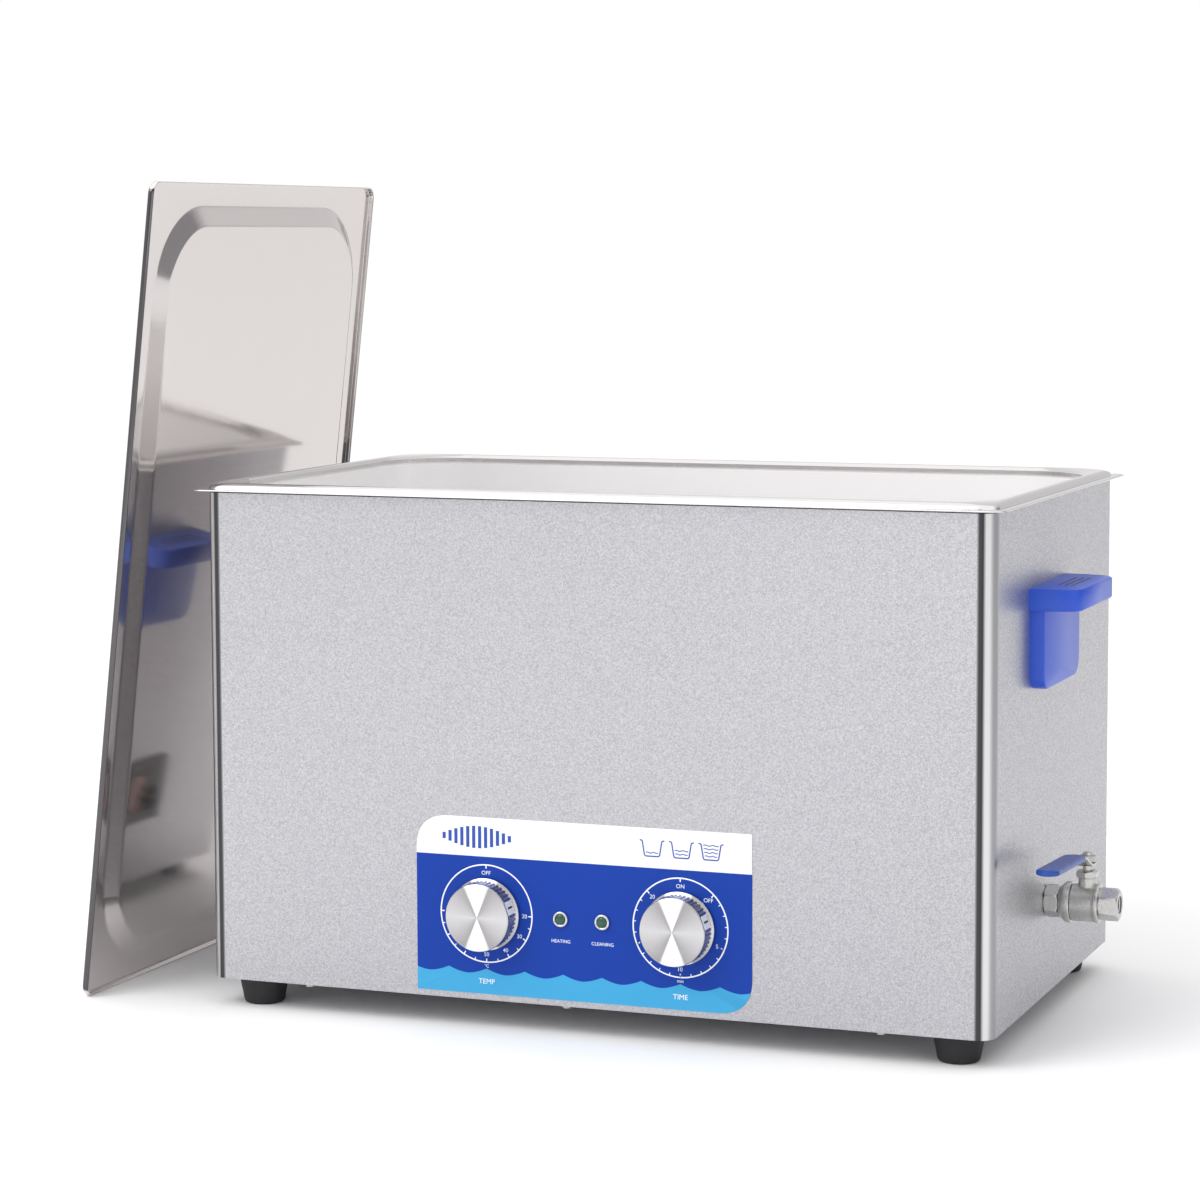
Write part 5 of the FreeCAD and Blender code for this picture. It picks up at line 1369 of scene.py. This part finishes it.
    def build(self) -> None:
        """Make the film and its prints."""
        self.film()
        marks = Piece("panel_white_print")
        for dial in self.dials:
            self.scale(marks, dial)
        for text, x in zip(("HEATING", "CLEANING"), LAMP_PLACES):
            self.write(marks, text, self.label_line[0], x, self.label_line[1])
        marks.finish(WHITE_INK, "panel_film")
        pictures = Piece("panel_blue_print")
        for x, waves in self.basins:
            self.basin(pictures, x, self.header, waves)
        pictures.finish(BLUE_INK, "panel_film")
        self.emblem()


@dataclass
class Lamps:
    """Two pilot lamps: polished bezel and domed lens."""

    places: tuple[float, float] = LAMP_PLACES
    z: float = DIAL_HEIGHT
    face: float = -156.1

    def build(self) -> None:
        """Make the bezels and lenses by turning their profiles."""
        ring = [(3.4, 0), (5.0, 0), (5.0, 1.4), (4.2, 2.0), (3.4, 1.6), (3.4, 0)]
        dome = [(0.02, -3), (3.35, -3), (3.35, 1.3), (2.6, 2.1), (1.2, 2.45), (0.02, 2.5)]
        bezel, lens = soften(ring, [0, 0.1, 0.5, 0.5, 0.2, 0]), soften(dome, [0, 0, 0.4, 0.5, 0.6, 0])
        bezels, lenses = Piece("lamp_bezel_pair"), Piece("lamp_lens_pair")
        for x in self.places:
            bezels.skin(stand(lathe_rings(bezel, 56), (x, self.face, self.z), Facing.FRONT), capped=False)
            lenses.skin(stand(lathe_rings(lens, 56), (x, self.face, self.z), Facing.FRONT))
        bezels.finish(CHROME, "chrome_trim", replaces=("lamp_bezels",))
        lenses.finish(GREEN_LENS, "lens_green", replaces=("lamp_lenses",))


@dataclass
class SideHandle:
    """Moulded bracket handle: a shelf over a screwed plate."""

    name: str
    node: str
    side: int
    wall: float = 258.0
    y: float = -24.4
    half_wall: float = 50.0
    half_tip: float = 40.3
    reach: float = 31.0
    shelf_low: float = 265.2
    shelf_high: float = 279.0
    plate_low: float = 216.3
    plate_half: float = 46.5
    plate_thick: float = 9.2
    plate_corner: float = 13.0
    grooves: tuple[float, ...] = (12.0, 16.3, 20.6)

    def place(self, points: Array) -> Array:
        """Put local points on their wall; the left one is turned half a turn about Z."""
        turned = points * np.array([self.side, self.side, 1.0])
        return turned + (self.side * self.wall, self.y, 0)

    def shelf(self) -> Array:
        """The shelf's rings: one plan outline whose edges are rounded above and below.

        At a part s of the reach its half length is tip + (wall - tip) sqrt(1 - s s).
        """
        s = np.linspace(0, 1, 12)
        half = self.half_tip + (self.half_wall - self.half_tip) * np.sqrt(1 - s**2)
        near = np.stack([self.reach * s, -half], axis=-1)
        outline = np.concatenate([near, near[::-1] * (1, -1)])
        edge = np.array([(1.6, 0.0), (0.6, 0.35), (0.0, 1.5)])
        profile = np.concatenate([edge + (0, self.shelf_low), edge[::-1] * (1, -1) + (0, self.shelf_high)])
        rings = outline_rings(outline, profile)
        rings[..., 0] = np.where(outline[None, :, 0] < 0.5, 0.0, rings[..., 0])
        return rings

    def plate(self) -> Array:
        """The plate's rings: a rounded plate with two large lower corners, softened at its face."""
        half, low, high = self.plate_half, self.plate_low, self.shelf_low + 2
        corners = [(-half, high), (-half, low), (half, low), (half, high)]
        outline = soften(corners, [0, self.plate_corner, self.plate_corner, 0], 12, closed=True)
        thick = self.plate_thick
        rings = outline_rings(outline, [(0.0, 0.0), (0.0, thick - 1.5), (0.5, thick - 0.4), (1.5, thick)])
        rings = rings[..., [2, 0, 1]]
        rings[..., 2] = np.where(outline[None, :, 1] > high - 0.5, high, rings[..., 2])
        return rings

    def build(self) -> None:
        """Make the handle, with dark strips of painted shade laid along its grip grooves."""
        Piece(self.name).skin(self.place(self.shelf())).skin(self.place(self.plate())).finish(
            BLUE_ABS, "blue_plastic", replaces=(self.node,)
        )
        # The dark strips over the grip grooves are painted shade.
        grooves = Piece(f"{self.name}_grooves")
        for out in self.grooves:
            line = ribbon(np.array([(out, -25.0), (out, 25.0)]), 1.3, 0.05)
            line[..., 2] += self.shelf_high
            grooves.skin(self.place(line))
        grooves.finish(DARK_LINE_AND_GROOVE_SHADE, "blue_plastic")


@dataclass
class DrainValve:
    """Ball valve on the right wall. Lengths along the pipe are from the wall."""

    wall: float = 258.0
    y: float = -23.0
    z: float = 78.5
    stem_at: float = 26.0
    hexagon: float = 18.0
    outlet: float = 5.72
    stem_hole: float = 3.06
    thread_turns: int = 7
    lever_z: float = 103.5
    lever_lift: float = 9.0
    lever_rise: float = 4.0
    ramp_end: float = 28.0
    tip: float = 107.0

    def along(self, rings: Array) -> Array:
        """Lay rings drawn about local Z along the pipe."""
        return stand(rings, (self.wall, self.y, self.z), Facing.RIGHT)

    def upright(self, rings: Array) -> Array:
        """Stand rings drawn about local Z on the stem's axis."""
        return stand(rings, (self.wall + self.stem_at, self.y, self.z), Facing.UP)

    def fixed(self) -> None:
        """Make the fitting, the end piece, the body with its boss, and the packing nut."""
        nipple = Piece("wall_fitting").skin(self.along(hexagon_rings(self.hexagon, 9.2, 4.0)), capped=False)
        tail = [(4, -24.0), (5.9, -24.0), (5.95, -8.2), (6.45, -8.0), (6.45, 16.4), (4, 16.4), (4, -24.0)]
        nipple.skin(self.along(lathe_rings(tail, 64)), capped=False)
        nipple.finish(TURNED_STEEL, "machined_steel", replaces=("wall_nipple",))
        end = soften(
            [
                (6.52, 9.3), (9.6, 9.3), (12.9, 13), (12.9, 16.7), (8.5, 16.7), (8.5, 19.0), (3.5, 19.0),
                (3.5, 17.3), (6.52, 17.3), (6.52, 9.3),
            ],
            [0, 0.5, 1.2, 0.5, 0.1, 0.1, 0.1, 0.1, 0.1, 0],
        )
        Piece("valve_end_cap").skin(self.along(lathe_rings(end)), capped=False).finish(
            CAST_STEEL, "machined_steel", replaces=("valve_end_piece",)
        )
        barrel = soften(
            [
                (8.55, 17), (8.55, 16.8), (11.6, 16.8), (11.6, 31.0), (12.4, 32.2), (12.4, 34.4), (9.6, 34.5),
                (3.5, 34.5), (3.5, 33.0), (8.55, 33.0), (8.55, 17),
            ],
            [0, 0.1, 0.7, 1.0, 0.6, 0.6, 0.1, 0.1, 0.1, 0.2, 0],
        )
        body = Piece("valve_casting").skin(self.along(lathe_rings(barrel)), capped=False)
        body.skin(self.along(hexagon_rings(self.hexagon, 12.2, self.outlet, 34.3)), capped=False)
        body.skin(self.along(lathe_rings(self.thread(), 64)), capped=False)
        hole = self.stem_hole
        corners = [(hole, 7.2), (5.9, 9.0), (5.6, 11.5), (5.6, 16.2), (hole, 16.2), (hole, 7.2)]
        boss = soften(corners, [0, 0.4, 1, 0.4, 0.1, 0])
        body.skin(self.upright(lathe_rings(boss, 56)), capped=False)
        body.finish(CAST_STEEL, "machined_steel", replaces=("valve_body",))
        packing = self.upright(hexagon_rings(12.5, 4.2, hole, 16.2))
        Piece("packing_hexagon").skin(packing, capped=False).finish(
            TURNED_STEEL, "machined_steel", replaces=("packing_nut",)
        )

    def thread(self) -> Array:
        """Profile of the threaded sleeve in the outlet.

        Over the threaded length, with t from 0 to 1, its radius is 5.7 - 0.45 (1 + cos(2 pi n t)) / 2
        for n turns, and the rest is a plain collar behind it.
        """
        part = np.linspace(0, 1, 61)
        crest = (1 + np.cos(2 * np.pi * self.thread_turns * part)) / 2
        wave = np.stack([5.7 - 0.45 * crest, 36 + 10.3 * part], axis=-1)
        front = [(7.2, 46.3), (6.9, 46.3)]
        return np.concatenate([front, wave[::-1], [(3.5, 36), (3.5, 34.6), (7.2, 34.6), front[0]]])

    def lever_path(self) -> Array:
        """The strap's middle line from behind the hub to the tip: flat, a ramp, then a slow rise.

        Its 90 points are evenly spaced along it.
        """
        hub, z = self.y, self.lever_z
        top = z + self.lever_lift
        corners = [(0, 7, z), (0, -8, z), (0, -self.ramp_end, top), (0, -self.tip, top + self.lever_rise)]
        path = soften(np.array(corners, float) + (0, hub, 0), 5, 9)
        length = lengths(path)
        even = np.linspace(0, length[-1], 90)
        return np.stack([np.interp(even, length, row) for row in path.T], axis=-1)

    def strap(self, path: Array, half_width: float, half_thick: float, end: float) -> Array:
        """Carry a rounded section along a path and round its ends in plan.

        The section's half width is w * sqrt(1 - ((end - d) / end)^2) within "end" of either end.

        Args:
            path: the middle line.
            half_width: w.
            half_thick: half of its thickness.
            end: how far from each end the rounding starts.
        Returns:
            Rings along the path.
        """
        length = lengths(path)
        distance = np.minimum(length, length[-1] - length)
        plan = np.sqrt(1 - np.clip((end - distance) / end, 0, 0.985) ** 2)
        angle = np.linspace(0, 2 * np.pi, 28, endpoint=False)
        across = np.sign(np.cos(angle)) * np.abs(np.cos(angle)) ** 0.35
        deep = np.broadcast_to(np.sign(np.sin(angle)) * np.abs(np.sin(angle)) ** 0.45, (len(path), 28))
        section = np.stack([half_width * plan[:, None] * across, half_thick * deep], axis=-1)
        rings = swept_rings(path, np.array([1.0, 0.0, 0.0]), section)
        return rings + (self.wall + self.stem_at, 0, 0)

    def moving(self) -> None:
        """Make the lever, its sleeve and the nut that holds it."""
        Piece("bent_lever").skin(self.strap(self.lever_path(), 5.5, 1.0, 6.0)).finish(
            TURNED_STEEL, "machined_steel", "drain_lever", ("valve_lever",)
        )
        slope = self.lever_rise / (self.tip - self.ramp_end)
        ends = [
            np.array([0, self.y - at, self.lever_z + self.lever_lift + (at - self.ramp_end) * slope])
            for at in (self.ramp_end + 4, self.tip + 2)
        ]
        span = np.linspace(0, 1, 70)[:, None]
        sleeve = self.strap(ends[0] * (1 - span) + ends[1] * span, 7.2, 1.88, 5.0)
        Piece("vinyl_sleeve").skin(sleeve).finish(BLUE_VINYL, "blue_vinyl", "drain_lever", ("lever_grip",))
        top = self.upright(hexagon_rings(10, 4.0, 3.0, 26.0))
        Piece("lever_hexagon").skin(top, capped=False).finish(
            ZINC_STEEL, "zinc_steel", "drain_lever", ("lever_nut",)
        )
        stem = soften([(0.02, 8), (3, 8), (3, 31.4), (2.4, 32), (0.02, 32)], [0, 0.1, 0.3, 0.3, 0])
        Piece("threaded_stem").skin(self.upright(lathe_rings(stem, 48))).finish(
            TURNED_STEEL, "machined_steel", "drain_lever", ("valve_stem",)
        )

    def build(self) -> None:
        """Make the whole valve."""
        self.fixed()
        self.moving()


@dataclass
class CadCopies:
    """CAD nodes that keep their shape: those in view get merged, smoothly shaded copies."""

    smoothed: tuple[str, ...] = (
        "casing_shell", "power_inlet", "rocker_switch", "fuse_drawer", "inlet_pins", "fan_guard", "fan_rotor",
        "fan_housing", "base_screws", "fan_screws", "foot_screws", "base_plate", "drain_spigot",
    )

    def build(self) -> None:
        """Copy and smooth the listed nodes, and give every CAD node its finish."""
        bodies = frame["record"]["behaviour"]["bodies"]
        body_of = {node: body for body, nodes in bodies.items() for node in nodes}
        for node in self.smoothed:
            mesh = frame["nodes"][node].data
            points = read_rows(mesh.vertices, "co", 3) / MM
            triangles = read_rows(mesh.loops, "vertex_index").reshape(-1, 3)
            copy = Piece(f"{node}_smooth").mesh(points, triangles.tolist())
            slot = SLOT_OF_NODE[node]
            finish = GRAINED_STEEL if node == "casing_shell" else FINISH_OF_SLOT[slot]
            copy.finish(finish, slot, body_of[node], (node,), sharp=25)
        for node, obj in frame["nodes"].items():
            obj.data.materials.clear()
            obj.data.materials.append(FINISH_OF_SLOT[SLOT_OF_NODE[node]].material())


# Studio


@dataclass
class Studio:
    """Pale floor, soft lights and the camera."""

    camera_at: tuple[float, float, float] = (744.5, -2033.0, 491.6)
    yaw: float = 20.29
    pitch: float = -5.2
    roll: float = -0.12
    lens: float = 100.1
    shift: tuple[float, float] = (-0.05, -0.05)
    room: tuple[tuple[float, str], ...] = (
        (0.0, "E4E3E4"), (0.06, "FFFFFF"), (0.44, "F0F0F2"), (0.47, "55555A"), (0.56, "4A4A4E"),
        (0.59, "FFFFFF"), (0.70, "FFFFFF"), (0.73, "8A8A8E"), (0.89, "8A8A8E"), (0.93, "E4E3E4"),
        (1.0, "E4E3E4"),
    )
    low_sky: float = 0.45
    high_sky: float = 0.7
    floor_half: float = 30.0

    def floor(self) -> None:
        """Make a wide pale floor."""
        half = self.floor_half
        corners = [(-half, -half, 0), (half, -half, 0), (half, half, 0), (-half, half, 0)]
        mesh = bpy.data.meshes.new("studio_floor")
        mesh.from_pydata(corners, [], [[0, 1, 2, 3]])
        paper = Finish("studio_paper", "FAFAFA", 0.85, grain=2.0, depth=0.0, mottle=0.03, shade="F8F8F8")
        mesh.materials.append(paper.material())
        floor = add_object("studio_floor", mesh)
        floor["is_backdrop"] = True

    def light(
        self, name: str, at: tuple[float, float, float], size: tuple[float, float], power: float
    ) -> None:
        """Hang one soft box that faces the cleaner.

        Args:
            name: its name.
            at: where it hangs, in metres.
            size: its width and height, in metres.
            power: in watts.
        """
        data = bpy.data.lights.new(name, "AREA")
        data.shape = "RECTANGLE"
        data.size, data.size_y = size
        data.energy = power
        lamp = add_object(name, data)
        lamp.location = at
        lamp.rotation_euler = (Vector((0, 0, 0.2)) - Vector(at)).to_track_quat("-Z", "Y").to_euler()

    def sun(self) -> None:
        """Add a wide weak light from above, which keeps the far floor as white as the room."""
        data = bpy.data.lights.new("ceiling_light", "SUN")
        data.energy, data.angle = 0.6, math.radians(80)
        add_object("ceiling_light", data)

    def world(self) -> None:
        """Surround the scene with a white room whose front and right side shine grey in the metal.

        The shade follows the compass direction, in turns from straight behind. It fades to white
        between low_sky and high_sky, which are sines of the angle above the floor. The room
        itself looks plain white all round.
        """
        world = bpy.data.worlds.new("studio_room")
        bpy.context.scene.world = world
        world.use_nodes = True
        tree = world.node_tree
        tree.nodes.clear()
        view = add_node(tree, "ShaderNodeTexCoord").outputs["Generated"]
        x, y, z = add_node(tree, "ShaderNodeSeparateXYZ", {0: view}).outputs
        front = add_node(tree, "ShaderNodeMath", {0: y, 1: -1.0}, operation="MULTIPLY").outputs[0]
        bearing = add_node(tree, "ShaderNodeMath", {0: x, 1: front}, operation="ARCTAN2").outputs[0]
        turn = {"Value": bearing, "From Min": -math.pi, "From Max": math.pi}
        part = add_node(tree, "ShaderNodeMapRange", turn).outputs[0]
        ramp = add_node(tree, "ShaderNodeValToRGB", {0: part})
        fill_ramp(ramp, self.room)
        rise = {"Value": z, "From Min": self.low_sky, "From Max": self.high_sky}
        height = add_node(tree, "ShaderNodeMapRange", rise).outputs[0]
        seen = add_node(tree, "ShaderNodeLightPath").outputs["Is Camera Ray"]
        colour = ramp.outputs[0]
        for whiter in (height, seen):
            shades = {0: whiter, 6: colour, 7: linear("FFFFFF")}
            colour = add_node(tree, "ShaderNodeMix", shades, data_type="RGBA").outputs[2]
        back = add_node(tree, "ShaderNodeBackground", {"Color": colour, "Strength": 1.0})
        add_node(tree, "ShaderNodeOutputWorld", {"Surface": back.outputs[0]})

    def camera(self) -> None:
        """Set the camera. Its axes come from yaw about Z, then pitch, then roll about its own view."""
        yaw, pitch, roll = (math.radians(v) for v in (self.yaw, self.pitch, self.roll))
        ahead = Vector((-math.sin(yaw) * math.cos(pitch), math.cos(yaw) * math.cos(pitch), math.sin(pitch)))
        right = Vector((math.cos(yaw), math.sin(yaw), 0))
        up = right.cross(ahead)
        right, up = right * math.cos(roll) + up * math.sin(roll), up * math.cos(roll) - right * math.sin(roll)
        data = bpy.data.cameras.new("camera")
        data.sensor_width = 36
        data.lens = self.lens
        data.shift_x, data.shift_y = self.shift
        camera = add_object("camera", data)
        matrix = Matrix((right, up, -ahead)).transposed().to_4x4()
        matrix.translation = Vector(self.camera_at) * MM
        camera.matrix_world = matrix
        bpy.context.scene.camera = camera

    def build(self) -> None:
        """Set up the studio."""
        self.floor()
        self.world()
        self.light("key_box", (-1.6, -2.4, 2.6), (2.2, 2.2), 56)
        self.light("front_box", (0.2, -2.8, 0.9), (1.6, 1.2), 8)
        self.sun()
        self.camera()
        bpy.context.scene.view_settings.view_transform = "Standard"


def dials() -> list[Dial]:
    """The two scales: heating from off to eighty degrees, and time with a continuous setting."""
    tens = range(7)
    heat = Dial(
        DIAL_PLACES[0],
        {"OFF": 0, **{str(20 + 10 * ten): 90 + 30 * ten for ten in tens}},
        np.array([0, *[90 + 30 * ten for ten in tens]]),
        np.array([105 + 30 * ten for ten in tens[:-1]]),
        "TEMP",
        "°C",
    )
    minutes = {"ON": 0, "OFF": 45, "5": 112.5, "10": 180, "15": 247.5, "20": 315}
    time = Dial(
        DIAL_PLACES[1], minutes, np.array(list(minutes.values())), 45 + 13.5 * np.arange(1, 20), "TIME", "min"
    )
    return [heat, time]


def save_bounds(sizes: dict[str, list[list[float]]], name: str) -> None:
    """Note the whole object's present box under a name."""
    sizes[name] = [list(corner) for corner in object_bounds()]


def main() -> None:
    """Build every sub-assembly in order, then the studio."""
    logging.basicConfig(level=logging.INFO, format="%(name)s %(message)s")
    sizes: dict[str, list[list[float]]] = {}
    save_bounds(sizes, "cad")
    assemblies = [
        CadCopies(),
        Tank(),
        Lid(),
        Foot(),
        ControlPanel(dials=dials()),
        Knob("heating_knob", "knob_temperature", "temperature_dial", DIAL_PLACES[0]),
        Knob("timer_knob", "knob_timer", "timer_dial", DIAL_PLACES[1]),
        Lamps(),
        SideHandle("right_bracket_handle", "handle_right", 1),
        SideHandle("left_bracket_handle", "handle_left", -1),
        DrainValve(),
    ]
    for assembly in assemblies:
        log.info("building %s", type(assembly).__name__)
        assembly.build()
    Studio().build()
    save_bounds(sizes, "visual")


if __name__ == "__main__":
    main()
